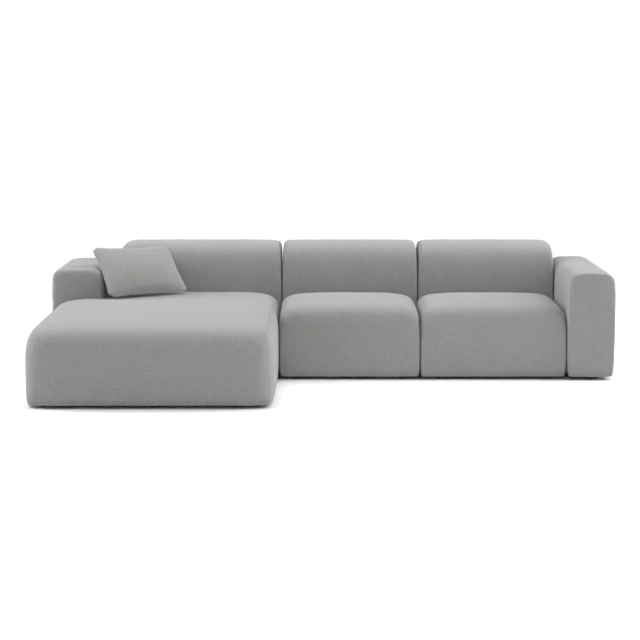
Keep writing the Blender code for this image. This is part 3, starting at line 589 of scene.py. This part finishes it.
def swell(mesh, amount, length):
    """Lifts and lowers the skin along its normals, as wadding does, in long low waves."""
    places = vertex_array(mesh, "co")
    normals = vertex_array(mesh, "normal")
    waves = np.zeros(len(places))
    for number in range(1, 6):
        turn = number * 2.4
        way = np.array([math.cos(turn), math.sin(turn), math.sin(turn * 1.7)])
        waves += np.sin(places @ way * (2 * math.pi / length) * (0.7 + 0.25 * number) + turn)
    move_vertices(mesh, places + normals * (waves * amount / 3)[:, None])


def lift_rear(mesh, box, lift):
    """Raises the top of a seat towards its rear, where it isn't sat down."""
    places = vertex_array(mesh, "co")
    across = (2 * places[:, 0] - box.left - box.right) / (box.right - box.left)
    back = np.clip((places[:, 1] - box.front) / (box.rear - box.front), 0, 1)
    up = np.clip((places[:, 2] - box.top + LIFT_DEPTH) / LIFT_DEPTH, 0, 1)
    places[:, 2] += lift * (1 - across**4) * back * (2 - back) * up * up
    move_vertices(mesh, places)


def welt(name, points, radius, material):
    """A round piping along points, half sunk into the seam."""
    curve = bpy.data.curves.new(name, "CURVE")
    curve.dimensions = "3D"
    curve.bevel_depth = radius
    curve.bevel_resolution = 2
    curve.use_fill_caps = True
    spline = curve.splines.new("POLY")
    spline.points.add(len(points) - 1)
    for item, point in zip(spline.points, points):
        item.co = (*point, 1)
    piece = add_object(name, curve)
    mesh = evaluated_mesh(piece)
    bpy.data.objects.remove(piece)
    bpy.data.curves.remove(curve)
    dress(mesh, material)
    store(mesh, SEAM_DISTANCE, np.full(len(mesh.vertices), FAR_FROM_SEAM))
    store(mesh, SEAM_ALONG, np.zeros(len(mesh.vertices)))
    map_weave(mesh)
    for face in mesh.polygons:
        face.use_smooth = True
    return add_object(name, mesh)


# Materials
class Mixer:
    """Builds a material's nodes, one named value after another."""

    def __init__(self, name):
        self.material = bpy.data.materials.new(name)
        self.material.use_nodes = True
        self.tree = self.material.node_tree
        self.shader = self.tree.nodes["Principled BSDF"]

    def set(self, **values):
        for label, value in values.items():
            self.shader.inputs[label.replace("_", " ")].default_value = value

    def join(self, value, socket):
        if isinstance(value, bpy.types.NodeSocket):
            self.tree.links.new(value, socket)
        else:
            socket.default_value = value

    def node(self, kind, **values):
        """A new node, with its inputs set or joined by their labels."""
        made = self.tree.nodes.new("ShaderNode" + kind)
        for label, value in values.items():
            self.join(value, made.inputs[label.replace("_", " ")])
        return made

    def maths(self, operation, first, second=0.0, third=0.0):
        made = self.node("Math")
        made.operation = operation
        for value, socket in zip((first, second, third), made.inputs):
            self.join(value, socket)
        return made.outputs[0]

    def ramp(self, value, low, high, start=0.0, end=1.0):
        """Value taken smoothly from low..high to start..end."""
        made = self.node(
            "MapRange", Value=value, From_Min=low, From_Max=high, To_Min=start, To_Max=end
        )
        made.interpolation_type = "SMOOTHSTEP"
        return made.outputs["Result"]

    def place(self, scale, turn=(0, 0, 0)):
        return self.scaled(self.node("TexCoord").outputs["Object"], scale, turn)

    def scaled(self, vector, scale, turn=(0, 0, 0)):
        return self.node("Mapping", Vector=vector, Scale=scale, Rotation=turn).outputs[0]

    def noise(self, vector, detail=2.0, distortion=0.0):
        made = self.node("TexNoise", Vector=vector, Scale=1, Detail=detail, Distortion=distortion)
        return made.outputs["Fac"]

    def cells(self, vector):
        return self.node("TexVoronoi", Vector=vector, Scale=1).outputs["Distance"]

    def blend(self, share, first, second):
        made = self.node("Mix")
        made.data_type = "RGBA"
        self.join(share, made.inputs["Factor"])
        self.join(first, made.inputs[6])
        self.join(second, made.inputs[7])
        return made.outputs[2]

    def attribute(self, name):
        made = self.node("Attribute")
        made.attribute_name = name
        return made.outputs["Fac"]

    def weave(self):
        made = self.node("UVMap")
        made.uv_map = WEAVE_MAP
        return made.outputs[0]

    def parts(self, vector):
        return self.node("SeparateXYZ", Vector=vector).outputs

    def emboss(self, height):
        """Bumps the shader by a height in metres."""
        made = self.node("Bump", Distance=1, Height=height)
        self.join(made.outputs[0], self.shader.inputs["Normal"])

    def colour(self, value):
        self.join(value, self.shader.inputs["Base Color"])

    def roughness(self, value):
        self.join(value, self.shader.inputs["Roughness"])


def grey_weave(settings):
    """Soft melange fabric with slubs both ways, puckered seams painted darker as painted shade in
    their grooves, and rows of stitches.
    """
    mix = Mixer("grey_melange_weave")
    flat = mix.weave()
    across, up, _ = mix.parts(flat)
    turns = 2 * math.pi / settings.pitch
    warp = mix.maths("SINE", mix.maths("MULTIPLY", across, turns))
    weft = mix.maths("SINE", mix.maths("MULTIPLY", up, turns))
    threads = mix.maths("MULTIPLY", warp, weft)
    long_way, short_way = 1 / settings.slub_length, 1 / settings.slub_width
    lying = mix.noise(mix.scaled(flat, (long_way, short_way, 1)), detail=1)
    standing = mix.noise(mix.scaled(flat, (short_way, long_way, 1)), detail=1)
    slub = mix.maths("ADD", mix.ramp(lying, 0.6, 0.72), mix.ramp(standing, 0.6, 0.72))
    thin = mix.maths("ADD", mix.ramp(lying, 0.4, 0.28), mix.ramp(standing, 0.4, 0.28))
    fibre = mix.noise(mix.scaled(flat, (420, 420, 1)))
    patch = mix.noise(mix.place((6, 6, 6)))
    share = mix.maths("MULTIPLY_ADD", slub, 0.36, mix.maths("MULTIPLY_ADD", fibre, 0.2, 0.32))
    share = mix.maths("MULTIPLY_ADD", thin, -0.34, share)
    share = mix.maths("MULTIPLY_ADD", patch, 0.2, share)
    share = mix.maths("MULTIPLY_ADD", threads, 0.06, share)
    base = mix.blend(share, tuple(settings.dark), tuple(settings.light))
    warm = mix.noise(mix.place((11, 11, 11)), detail=1)
    tinted = mix.blend(mix.ramp(warm, 0.35, 0.7, 0, 0.3), base, (0.27, 0.243, 0.214, 1))
    cool = mix.noise(mix.place((9, 9, 9), (1, 2, 3)), detail=1)
    tinted = mix.blend(mix.ramp(cool, 0.45, 0.75, 0, 0.3), tinted, (0.232, 0.253, 0.241, 1))
    distance = mix.attribute(SEAM_DISTANCE)
    along = mix.attribute(SEAM_ALONG)
    line = mix.ramp(distance, 0.0006, 0.0028, 1, 0)
    beside = mix.maths("ABSOLUTE", mix.maths("SUBTRACT", distance, STITCH_INSET))
    row = mix.ramp(beside, 0.0003, 0.0011, 1, 0)
    step = mix.maths("SINE", mix.maths("MULTIPLY", along, 2 * math.pi / settings.stitch_length))
    stitch = mix.maths("MULTIPLY", row, mix.ramp(step, -0.3, 0.2))
    # Painted shade: the fabric is painted darker along each seam and hem, over the groove that the
    # bump sinks there
    mix.colour(mix.blend(mix.maths("MULTIPLY", line, 0.45), tinted, (0.12, 0.12, 0.12, 1)))
    near = mix.ramp(distance, 0.004, 0.035, 1, 0)
    gather = mix.maths("SINE", mix.maths("MULTIPLY", along, 2 * math.pi / GATHER_LENGTH))
    uneven = mix.noise(mix.place((30, 30, 30)))
    pucker = mix.maths("MULTIPLY", mix.maths("MULTIPLY", gather, uneven), near)
    height = mix.maths("MULTIPLY", threads, 0.00012)
    height = mix.maths("MULTIPLY_ADD", slub, 0.0002, height)
    height = mix.maths("MULTIPLY_ADD", pucker, 0.0009, height)
    height = mix.maths("MULTIPLY_ADD", line, -0.0012, height)
    height = mix.maths("MULTIPLY_ADD", stitch, 0.0004, height)
    creases = mix.noise(mix.place((14, 14, 14)), detail=3, distortion=0.6)
    height = mix.maths("MULTIPLY_ADD", creases, 0.0007, height)
    mix.emboss(height)
    mix.set(Roughness=0.92, Specular_IOR_Level=0.25)
    mix.set(Sheen_Weight=settings.sheen, Sheen_Roughness=0.45)
    return mix.material


def upholstery_foam():
    """Cut foam: pale, with fine open cells."""
    mix = Mixer("cut_foam")
    cell = mix.cells(mix.place((450, 450, 450)))
    patch = mix.noise(mix.place((7, 7, 7)))
    mix.colour(mix.blend(mix.ramp(patch, 0.3, 0.7), (0.80, 0.72, 0.48, 1), (0.88, 0.82, 0.60, 1)))
    mix.emboss(mix.maths("MULTIPLY", cell, 0.0006))
    mix.set(Roughness=0.95, Specular_IOR_Level=0.2)
    return mix.material


def planed_pine():
    """Rails of planed softwood with bands of grain; their lower edge is painted grey, a painted
    shade that keeps the gap under the sofa dark and also stands for the cover's grey cloth turned
    under.
    """
    mix = Mixer("planed_pine")
    rings = mix.noise(mix.place((2.2, 46, 46)), detail=3, distortion=0.5)
    pores = mix.noise(mix.place((22, 700, 700)))
    share = mix.maths("MULTIPLY_ADD", pores, 0.35, mix.ramp(rings, 0.3, 0.7))
    wood = mix.blend(mix.ramp(share, 0.2, 1.2), (0.52, 0.33, 0.16, 1), (0.76, 0.58, 0.36, 1))
    _, _, height = mix.parts(mix.place((1, 1, 1)))
    # Painted shade: the lowest 5 cm of the rails are painted dark grey so the gap under the sofa
    # reads dark; in part this is the cover's grey cloth turned under the rails
    cloth = mix.blend(pores, (0.16, 0.16, 0.16, 1), (0.21, 0.21, 0.21, 1))
    mix.colour(mix.blend(mix.ramp(height, 0.05, 0.055), cloth, wood))
    mix.emboss(mix.maths("MULTIPLY", pores, 0.0002))
    mix.roughness(mix.ramp(pores, 0.3, 0.7, 0.5, 0.7))
    return mix.material


def sanded_plywood():
    """Plywood with fine figure on its faces and plies that show on its edges."""
    mix = Mixer("sanded_plywood")
    figure = mix.noise(mix.place((5, 5, 40)), detail=4, distortion=0.8)
    plies = mix.noise(mix.place((420, 420, 3)), detail=1)
    share = mix.maths("MULTIPLY_ADD", plies, 0.25, mix.ramp(figure, 0.3, 0.7))
    mix.colour(mix.blend(mix.ramp(share, 0.1, 1.1), (0.60, 0.43, 0.25, 1), (0.78, 0.62, 0.42, 1)))
    mix.emboss(mix.maths("MULTIPLY", figure, 0.00015))
    mix.set(Roughness=0.62)
    return mix.material


def elastic_webbing():
    """Black elastic straps with fine ribs along and across them."""
    mix = Mixer("ribbed_webbing")
    x, y, _ = mix.parts(mix.place((1, 1, 1)))
    ribs = mix.maths("SINE", mix.maths("MULTIPLY", x, 2 * math.pi / RIB_PITCH))
    cords = mix.maths("SINE", mix.maths("MULTIPLY", y, 2 * math.pi / RIB_PITCH))
    woven = mix.maths("MULTIPLY", ribs, cords)
    mix.colour(mix.blend(mix.ramp(woven, -1, 1), (0.02, 0.018, 0.016, 1), (0.09, 0.08, 0.07, 1)))
    mix.emboss(mix.maths("MULTIPLY", woven, 0.0003))
    mix.set(Roughness=0.85)
    return mix.material


def dust_lining():
    """Thin black lining of pressed fibres."""
    mix = Mixer("pressed_lining")
    fibres = mix.noise(mix.place((260, 900, 300)), detail=3, distortion=1.2)
    share = mix.ramp(fibres, 0.3, 0.7)
    mix.colour(mix.blend(share, (0.012, 0.012, 0.013, 1), (0.05, 0.05, 0.052, 1)))
    mix.emboss(mix.maths("MULTIPLY", fibres, 0.0003))
    mix.set(Roughness=0.95)
    return mix.material


def plated_steel():
    """Pressed steel with a dull zinc plating and faint scuffs."""
    mix = Mixer("dull_plated_steel")
    spangle = mix.cells(mix.place((130, 130, 130)))
    scuff = mix.noise(mix.place((30, 400, 60)), detail=3)
    mix.colour(mix.blend(mix.ramp(spangle, 0, 0.6), (0.50, 0.50, 0.52, 1), (0.64, 0.64, 0.66, 1)))
    mix.roughness(mix.ramp(scuff, 0.3, 0.7, 0.3, 0.5))
    mix.set(Metallic=1)
    return mix.material


def moulded_plastic():
    """Black moulded plastic with a fine grain, scuffed where it meets the floor."""
    mix = Mixer("moulded_black_plastic")
    grain = mix.noise(mix.place((900, 900, 900)))
    _, _, height = mix.parts(mix.place((1, 1, 1)))
    scuffed = mix.maths("MULTIPLY", mix.ramp(height, 0, 0.006, 1, 0), grain)
    mix.colour(mix.blend(scuffed, (0.02, 0.02, 0.021, 1), (0.12, 0.12, 0.12, 1)))
    mix.roughness(mix.ramp(grain, 0.3, 0.7, 0.42, 0.6))
    mix.emboss(mix.maths("MULTIPLY", grain, 0.0001))
    return mix.material


def finish(name, make, *settings):
    """The material of that name, made if it isn't there yet."""
    return bpy.data.materials.get(name) or make(*settings)


# Covers and foam
def open_base(piece, box, notch):
    """Cuts the opening in a cover's base, inside the flange that is stapled to the frame."""
    opening = inset_box(box, FLANGE_WIDTH)
    openings = [opening]
    if notch:
        beside = opening._replace(right=notch.right + FLANGE_WIDTH, rear=notch.front - FLANGE_WIDTH)
        openings = [beside, opening._replace(left=notch.right + FLANGE_WIDTH)]
    bm = bmesh.new()
    bm.from_mesh(piece.data)

    def base_faces():
        return [
            face
            for face in bm.faces
            if face.normal.z < -0.9 and face.calc_center_median().z < box.bottom + COVER_THICKNESS
        ]

    for cut in openings:
        planes = [
            ((cut.left, 0, 0), (1, 0, 0)),
            ((cut.right, 0, 0), (1, 0, 0)),
            ((0, cut.front, 0), (0, 1, 0)),
            ((0, cut.rear, 0), (0, 1, 0)),
        ]
        for point, normal in planes:
            faces = base_faces()
            edges = {edge for face in faces for edge in face.edges}
            corners = {vert for face in faces for vert in face.verts}
            geometry = faces + list(edges) + list(corners)
            bmesh.ops.bisect_plane(bm, geom=geometry, plane_co=point, plane_no=normal)
    spare = []
    for face in base_faces():
        middle = face.calc_center_median()
        for cut in openings:
            if cut.left < middle.x < cut.right and cut.front < middle.y < cut.rear:
                spare.append(face)
                break
    bmesh.ops.delete(bm, geom=spare, context="FACES")
    bm.to_mesh(piece.data)
    bm.free()


def sew_cover(element, settings):
    """One sewn cover, smooth, with its seams marked and its base open."""
    box, notch = element_box(element.name), element_notch(element.name)
    name = element.name + "_sewn_cover"
    piece = smooth_form(name, box, element.soft, notch, settings.cover.smoothness)
    mesh = piece.data
    swell(mesh, settings.cover.unevenness, settings.cover.unevenness_length)
    if element in SEATS and not notch:
        lift_rear(mesh, box, settings.cover.lift)
    mark_seams(mesh, element.seams, box.bottom + TUCK_EDGE)
    fabric = finish("grey_melange_weave", grey_weave, settings.fabric)
    for number, route in enumerate(element.welts):
        points = welt_points(mesh, route, WELT_STEP)
        piping = welt(f"{name}_welt_{number + 1}", points, settings.cover.welt_radius, fabric)
        piping.parent = piece
    open_base(piece, box, notch)
    map_weave(mesh)
    dress(mesh, fabric)
    rim = piece.modifiers.new("turned edge", "SOLIDIFY")
    rim.thickness = COVER_THICKNESS
    rim.use_rim_only = True
    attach(piece, element.body)
    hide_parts(element.name + "_cover")


def cut_foam(element, bottom):
    """The foam under a cover, cut flat where it sits on its frame."""
    inset = COVER_THICKNESS + NEST_GAP
    box, notch = element_box(element.name), element_notch(element.name)
    name = element.name + "_foam_block"
    box, notch = inset_box(box, inset), inset_notch(notch, inset)
    piece = smooth_form(name, box, element.soft, notch, FOAM_SMOOTHNESS)
    bm = bmesh.new()
    bm.from_mesh(piece.data)
    geometry = bm.verts[:] + bm.edges[:] + bm.faces[:]
    cut = bmesh.ops.bisect_plane(
        bm, geom=geometry, plane_co=(0, 0, bottom), plane_no=(0, 0, 1), clear_inner=True
    )["geom_cut"]
    edges = [item for item in cut if isinstance(item, bmesh.types.BMEdge)]
    bmesh.ops.contextual_create(bm, geom=edges)
    bm.to_mesh(piece.data)
    bm.free()
    dress(piece.data, finish("cut_foam", upholstery_foam))
    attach(piece, element.body)
    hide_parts(element.name + "_foam")


# Scatter cushion
def cushion_panels(columns, rows, settings):
    """Two crowned panels with hollowed sides, sewn together round their edge."""
    bm = lattice(columns, rows, 1, lambda middle: False)
    corners = bm.verts.layers.float_vector.new(LATTICE)
    for vert in bm.verts:
        vert[corners] = vert.co
        across = 2 * vert.co.x / columns - 1
        up = 2 * vert.co.y / rows - 1
        fullness = (1 - across * across) ** 0.8 * (1 - up * up)
        rounding = settings.corner * (across * up) ** 12
        x = across * (settings.width / 2 - settings.waist * (1 - up * up) - rounding)
        z = up * (settings.height / 2 - settings.waist * (1 - across * across) - rounding)
        y = (1 - 2 * vert.co.z) * (CUSHION_SEAM + settings.thickness * CUSHION_CROWN * fullness) / 2
        vert.co = (x, y, z)
    for face in bm.faces:
        face.smooth = True
    return bm


def fill_with_cloth(piece, pressure):
    """Swells a closed piece by a short, well damped cloth simulation that each run repeats."""
    before = vertex_array(piece.data, "co")
    cloth = piece.modifiers.new("filling", "CLOTH")
    settings = cloth.settings
    settings.quality = 6
    settings.tension_stiffness = 5
    settings.compression_stiffness = 1
    settings.shear_stiffness = 1
    settings.bending_stiffness = 5
    settings.tension_damping = 25
    settings.compression_damping = 25
    settings.shear_damping = 25
    settings.air_damping = 10
    settings.use_pressure = True
    settings.uniform_pressure_force = pressure
    settings.effector_weights.gravity = 0
    cloth.point_cache.frame_start = 1
    cloth.point_cache.frame_end = CUSHION_FRAMES
    scene = bpy.context.scene
    for number in range(1, CUSHION_FRAMES + 1):
        scene.frame_set(number)
    apply_modifiers(piece)
    scene.frame_set(1)
    moved = vertex_array(piece.data, "co") - before
    distance = np.linalg.norm(moved, axis=1, keepdims=True)
    share = np.minimum(1, CUSHION_REACH / np.maximum(distance, 1e-9))
    move_vertices(piece.data, before + moved * share)


def size_cushion(mesh, settings):
    """Brings the filled cushion to its size, and lets the filling slump a little."""
    places = vertex_array(mesh, "co")
    places -= (places.max(axis=0) + places.min(axis=0)) / 2
    places *= (settings.width, settings.thickness, settings.height) / np.ptp(places, axis=0)
    across = 2 * places[:, 0] / settings.width
    up = 2 * places[:, 2] / settings.height
    places[:, 0] *= 1 - settings.taper[0] * up
    places[:, 1] *= 1 - settings.slump * up
    places[:, 2] *= 1 - settings.taper[1] * across
    places[:, 0] -= settings.ear * (1 - across) * (1 + up) / 4
    move_vertices(mesh, places)


def rest_on(mesh, supports):
    """Flattens a soft mesh where it would sink into what carries it."""
    places = vertex_array(mesh, "co")
    for support in supports:
        bm = bmesh.new()
        bm.from_mesh(bpy.data.objects[support].data)
        tree = BVHTree.FromBMesh(bm)
        bm.free()
        for number, place in enumerate(places):
            found, normal, _, _ = tree.find_nearest(Vector(place), REST_SEARCH)
            if found is None:
                continue
            depth = REST_GAP - (Vector(place) - found).dot(normal)
            if depth > 0:
                places[number] += np.array(normal * depth)
    move_vertices(mesh, places)


def cushion_place(settings):
    low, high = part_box("scatter_cushion_cover")
    roll = Matrix.Rotation(settings.roll, 4, "Y")
    lean = Matrix.Rotation(-settings.lean, 4, "X")
    turn = Matrix.Rotation(settings.turn, 4, "Z")
    return Matrix.Translation((low + high) / 2 + Vector(settings.sink)) @ turn @ lean @ roll


def fill_cushion(settings):
    """The loose cushion: two sewn panels, rounded by their filling, that rest in the corner."""
    cushion = settings.cushion
    columns, rows = CUSHION_CELLS
    piece = add_mesh("scatter_cushion_sewn_cover", cushion_panels(columns, rows, cushion))
    fill_with_cloth(piece, cushion.pressure)
    size_cushion(piece.data, cushion)
    subdivide(piece, 1)
    mesh = piece.data
    map_weave(mesh)
    mesh.transform(cushion_place(cushion))
    rest_on(mesh, ["chaise_sewn_cover", "left_back_sewn_cover", "left_arm_sewn_cover"])
    rim = [(0, 0, 0.5), (columns, 0, 0.5), (columns, rows, 0.5), (0, rows, 0.5), (0, 0, 0.5)]
    mark_seams(mesh, [rim], -1)
    fabric = finish("grey_melange_weave", grey_weave, settings.fabric)
    points = welt_points(mesh, rim, CUSHION_WELT_STEP)
    piping = welt("scatter_cushion_welt", points + points[:1], cushion.welt_radius, fabric)
    piping.parent = piece
    dress(mesh, fabric)
    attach(piece, "scatter_cushion")
    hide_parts("scatter_cushion_cover", "scatter_cushion_filling")


# Underside
def line_underside(node, body, sag):
    """A dust cloth stretched under a frame, hanging a little in its middle."""
    bm = bmesh.new()
    bm.from_mesh(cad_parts[node].data)
    bmesh.ops.delete(bm, geom=[face for face in bm.faces if face.normal.z > -0.5], context="FACES")
    bmesh.ops.dissolve_limit(bm, angle_limit=0.01, verts=bm.verts, edges=bm.edges)
    low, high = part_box(node)
    for axis in (0, 1):
        count = math.ceil((high[axis] - low[axis]) / LINING_STEP)
        for number in range(1, count):
            point, normal = [0, 0, 0], [0, 0, 0]
            point[axis] = low[axis] + (high[axis] - low[axis]) * number / count
            normal[axis] = 1
            geometry = bm.verts[:] + bm.edges[:] + bm.faces[:]
            bmesh.ops.bisect_plane(bm, geom=geometry, plane_co=point, plane_no=normal)
    rim = {vert for vert in bm.verts if vert.is_boundary}
    for vert in bm.verts:
        if vert not in rim:
            across = (vert.co.x - low.x) / (high.x - low.x)
            along = (vert.co.y - low.y) / (high.y - low.y)
            hang = 16 * across * (1 - across) * along * (1 - along)
            ripple = 0.2 * math.sin(vert.co.x * 21 + vert.co.y * 5) * math.sin(vert.co.y * 17)
            vert.co.z -= sag * (hang * (0.8 + ripple))
    for face in bm.faces:
        face.smooth = True
    area = sum(face.calc_area() for face in bm.faces)
    piece = add_mesh(node.replace("dust_cloth", "stretched_lining"), bm)
    dress(piece.data, finish("pressed_lining", dust_lining))
    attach(piece, body)
    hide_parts(node)


# Operators
class SOFA_OT_seat_covers(Operator):
    """Sews the covers of the chaise and the two seats"""

    bl_idname = "sofa.seat_covers"
    bl_label = "Sew cushion covers of the seats"

    def execute(self, context):
        for element in SEATS:
            sew_cover(element, context.scene.sofa)
        return {"FINISHED"}


class SOFA_OT_back_covers(Operator):
    """Sews the covers of the three backs"""

    bl_idname = "sofa.back_covers"
    bl_label = "Sew covers of the backs"

    def execute(self, context):
        for element in BACKS:
            sew_cover(element, context.scene.sofa)
        return {"FINISHED"}


class SOFA_OT_arm_covers(Operator):
    """Sews the covers of the two arms, with piping along the right arm's front edge"""

    bl_idname = "sofa.arm_covers"
    bl_label = "Sew covers of the arms"

    def execute(self, context):
        for element in ARMS:
            sew_cover(element, context.scene.sofa)
        return {"FINISHED"}


class SOFA_OT_foam(Operator):
    """Cuts the foam that fills every cover"""

    bl_idname = "sofa.foam"
    bl_label = "Cut the foam"

    def execute(self, context):
        for element in SEATS + BACKS + ARMS:
            cut_foam(element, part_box(element.name + "_foam")[0].z)
        return {"FINISHED"}


class SOFA_OT_cushion(Operator):
    """Sews and fills the loose cushion"""

    bl_idname = "sofa.cushion"
    bl_label = "Fill the scatter cushion"

    def execute(self, context):
        fill_cushion(context.scene.sofa)
        return {"FINISHED"}


class SOFA_OT_underside(Operator):
    """Stretches the dust cloths under the seats' frames"""

    bl_idname = "sofa.underside"
    bl_label = "Line the underside"

    def execute(self, context):
        sag = context.scene.sofa.cover.lining_sag
        for element in SEATS:
            line_underside(element.name + "_dust_cloth", element.body, sag)
        return {"FINISHED"}


class SOFA_OT_hardware(Operator):
    """Finishes the wood, webbing, steel and plastic that stay as solids"""

    bl_idname = "sofa.hardware"
    bl_label = "Finish frames and hardware"

    def execute(self, context):
        finishes = {
            "_frame": planed_pine(),
            "_base": None,
            "_board": sanded_plywood(),
            "_webbing": elastic_webbing(),
            "_plate": plated_steel(),
            "_foot_": moulded_plastic(),
        }
        finishes["_base"] = finishes["_frame"]
        for name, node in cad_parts.items():
            for ending, material in finishes.items():
                if ending in name:
                    dress(node.data, material)
        return {"FINISHED"}


def add_softbox(name, azimuth, elevation, size, power):
    """A soft light that faces the sofa, azimuth degrees round it from the front."""
    light = bpy.data.lights.new(name, "AREA")
    light.shape = "RECTANGLE"
    light.size, light.size_y = size
    light.energy = power
    made = add_object(name, light)
    round_it, up = math.radians(azimuth), math.radians(elevation)
    flat = math.cos(up)
    way = Vector((math.sin(round_it) * flat, -math.cos(round_it) * flat, math.sin(up)))
    made.location = Vector(SOFTBOX_AIM) + way * SOFTBOX_DISTANCE
    made.rotation_euler = way.to_track_quat("Z", "Y").to_euler()
    return made


def studio_floor(radius):
    """A pale round floor that fades into the room at its edge."""
    bm = bmesh.new()
    bmesh.ops.create_circle(bm, cap_ends=True, segments=96, radius=radius)
    floor = add_mesh("studio_floor", bm)
    mix = Mixer("pale_floor")
    x, y, _ = mix.parts(mix.place((1, 1, 1)))
    square = mix.maths("MULTIPLY_ADD", x, x, mix.maths("MULTIPLY", y, y))
    away = mix.maths("SQRT", square)
    mottle = mix.noise(mix.place((1.5, 1.5, 1.5)))
    mix.colour(mix.blend(mottle, (0.80, 0.80, 0.80, 1), (0.82, 0.82, 0.82, 1)))
    mix.join(mix.ramp(away, radius * 0.5, radius * 0.97, 1, 0), mix.shader.inputs["Alpha"])
    mix.set(Roughness=0.9, Specular_IOR_Level=0.1)
    floor.data.materials.append(mix.material)
    return floor


def studio_backdrop(radius):
    """A white shell round the studio, which the camera sees and the light passes."""
    bm = bmesh.new()
    bmesh.ops.create_uvsphere(bm, u_segments=64, v_segments=32, radius=radius)
    backdrop = add_mesh("studio_backdrop", bm)
    mix = Mixer("white_backdrop")
    mix.set(Base_Color=(0, 0, 0, 1), Specular_IOR_Level=0)
    mix.set(Emission_Color=(1, 1, 1, 1), Emission_Strength=1)
    backdrop.data.materials.append(mix.material)
    backdrop.visible_diffuse = False
    backdrop.visible_glossy = False
    backdrop.visible_transmission = False
    backdrop.visible_shadow = False


def studio_room():
    """White up to a little above the horizon, and dark above that."""
    world = bpy.data.worlds.new("studio_room")
    bpy.context.scene.world = world
    world.use_nodes = True
    tree = world.node_tree
    background = tree.nodes["Background"]
    coordinates = tree.nodes.new("ShaderNodeTexCoord")
    parts = tree.nodes.new("ShaderNodeSeparateXYZ")
    fade = tree.nodes.new("ShaderNodeMapRange")
    fade.interpolation_type = "SMOOTHSTEP"
    fade.inputs["From Min"].default_value = math.sin(WHITE_BELOW)
    fade.inputs["From Max"].default_value = math.sin(DARK_ABOVE)
    fade.inputs["To Min"].default_value = 1
    fade.inputs["To Max"].default_value = 0
    tree.links.new(coordinates.outputs["Generated"], parts.inputs[0])
    tree.links.new(parts.outputs[2], fade.inputs["Value"])
    tree.links.new(fade.outputs["Result"], background.inputs["Strength"])
    background.inputs["Color"].default_value = (1, 1, 1, 1)


class SOFA_OT_studio(Operator):
    """Sets up the floor, the lights, the room and the camera"""

    bl_idname = "sofa.studio"
    bl_label = "Set up the studio"

    def execute(self, context):
        studio = context.scene.sofa.studio
        floor = studio_floor(studio.floor_radius)
        studio_backdrop(BACKDROP_RADIUS)
        studio_room()
        add_softbox("left_softbox", 270, 30, (3.2, 6.1), studio.left_power)
        add_softbox("right_softbox", 90, 30, (3.2, 6.1), studio.right_power)
        add_softbox("top_softbox", 0, 90, (8.4, 8.4), studio.top_power)
        add_softbox("front_softbox", 0, 18, (3.2, 3.2), studio.front_power)
        fill = add_softbox("fill_softbox", 0, 18, (3.2, 3.2), studio.fill_power)
        spared = bpy.data.collections.new("spared_by_fill_softbox")
        spared.objects.link(floor)
        spared.collection_objects[0].light_linking.link_state = "EXCLUDE"
        fill.light_linking.receiver_collection = spared
        wash = add_softbox("floor_softbox", 180, 68, (6, 6), studio.floor_power)
        lit = bpy.data.collections.new("lit_by_floor_softbox")
        lit.objects.link(floor)
        wash.light_linking.receiver_collection = lit
        camera = bpy.data.cameras.new("studio_camera")
        camera.sensor_width = 36
        camera.lens = studio.lens
        holder = add_object("studio_camera", camera)
        holder.location = studio.camera_place
        holder.rotation_euler = (math.pi / 2 - studio.camera_tilt, 0, 0)
        context.scene.camera = holder
        context.scene.view_settings.view_transform = "Standard"
        return {"FINISHED"}


class SOFA_PT_panel(Panel):
    """Lists the pieces of the sofa and their settings"""

    bl_idname = "SOFA_PT_panel"
    bl_label = "Corner sofa"
    bl_space_type = "VIEW_3D"
    bl_region_type = "UI"
    bl_category = "Sofa"

    def draw(self, context):
        settings = context.scene.sofa
        for group in (settings.fabric, settings.cover, settings.cushion, settings.studio):
            box = self.layout.box()
            for name in group.__annotations__:
                box.prop(group, name)
        for operator in OPERATORS:
            self.layout.operator(operator.bl_idname)


OPERATORS = [
    SOFA_OT_seat_covers,
    SOFA_OT_back_covers,
    SOFA_OT_arm_covers,
    SOFA_OT_foam,
    SOFA_OT_cushion,
    SOFA_OT_underside,
    SOFA_OT_hardware,
    SOFA_OT_studio,
]
CLASSES = [
    FabricSettings,
    CoverSettings,
    CushionSettings,
    StudioSettings,
    SofaSettings,
    *OPERATORS,
    SOFA_PT_panel,
]


def register():
    for item in CLASSES:
        bpy.utils.register_class(item)
    bpy.types.Scene.sofa = PointerProperty(type=SofaSettings)


def unregister():
    del bpy.types.Scene.sofa
    for item in reversed(CLASSES):
        bpy.utils.unregister_class(item)


def main():
    register()
    bpy.ops.sofa.seat_covers()
    bpy.ops.sofa.back_covers()
    bpy.ops.sofa.arm_covers()
    bpy.ops.sofa.foam()
    bpy.ops.sofa.cushion()
    bpy.ops.sofa.underside()
    bpy.ops.sofa.hardware()
    bpy.ops.sofa.studio()


if __name__ == "__main__":
    main()
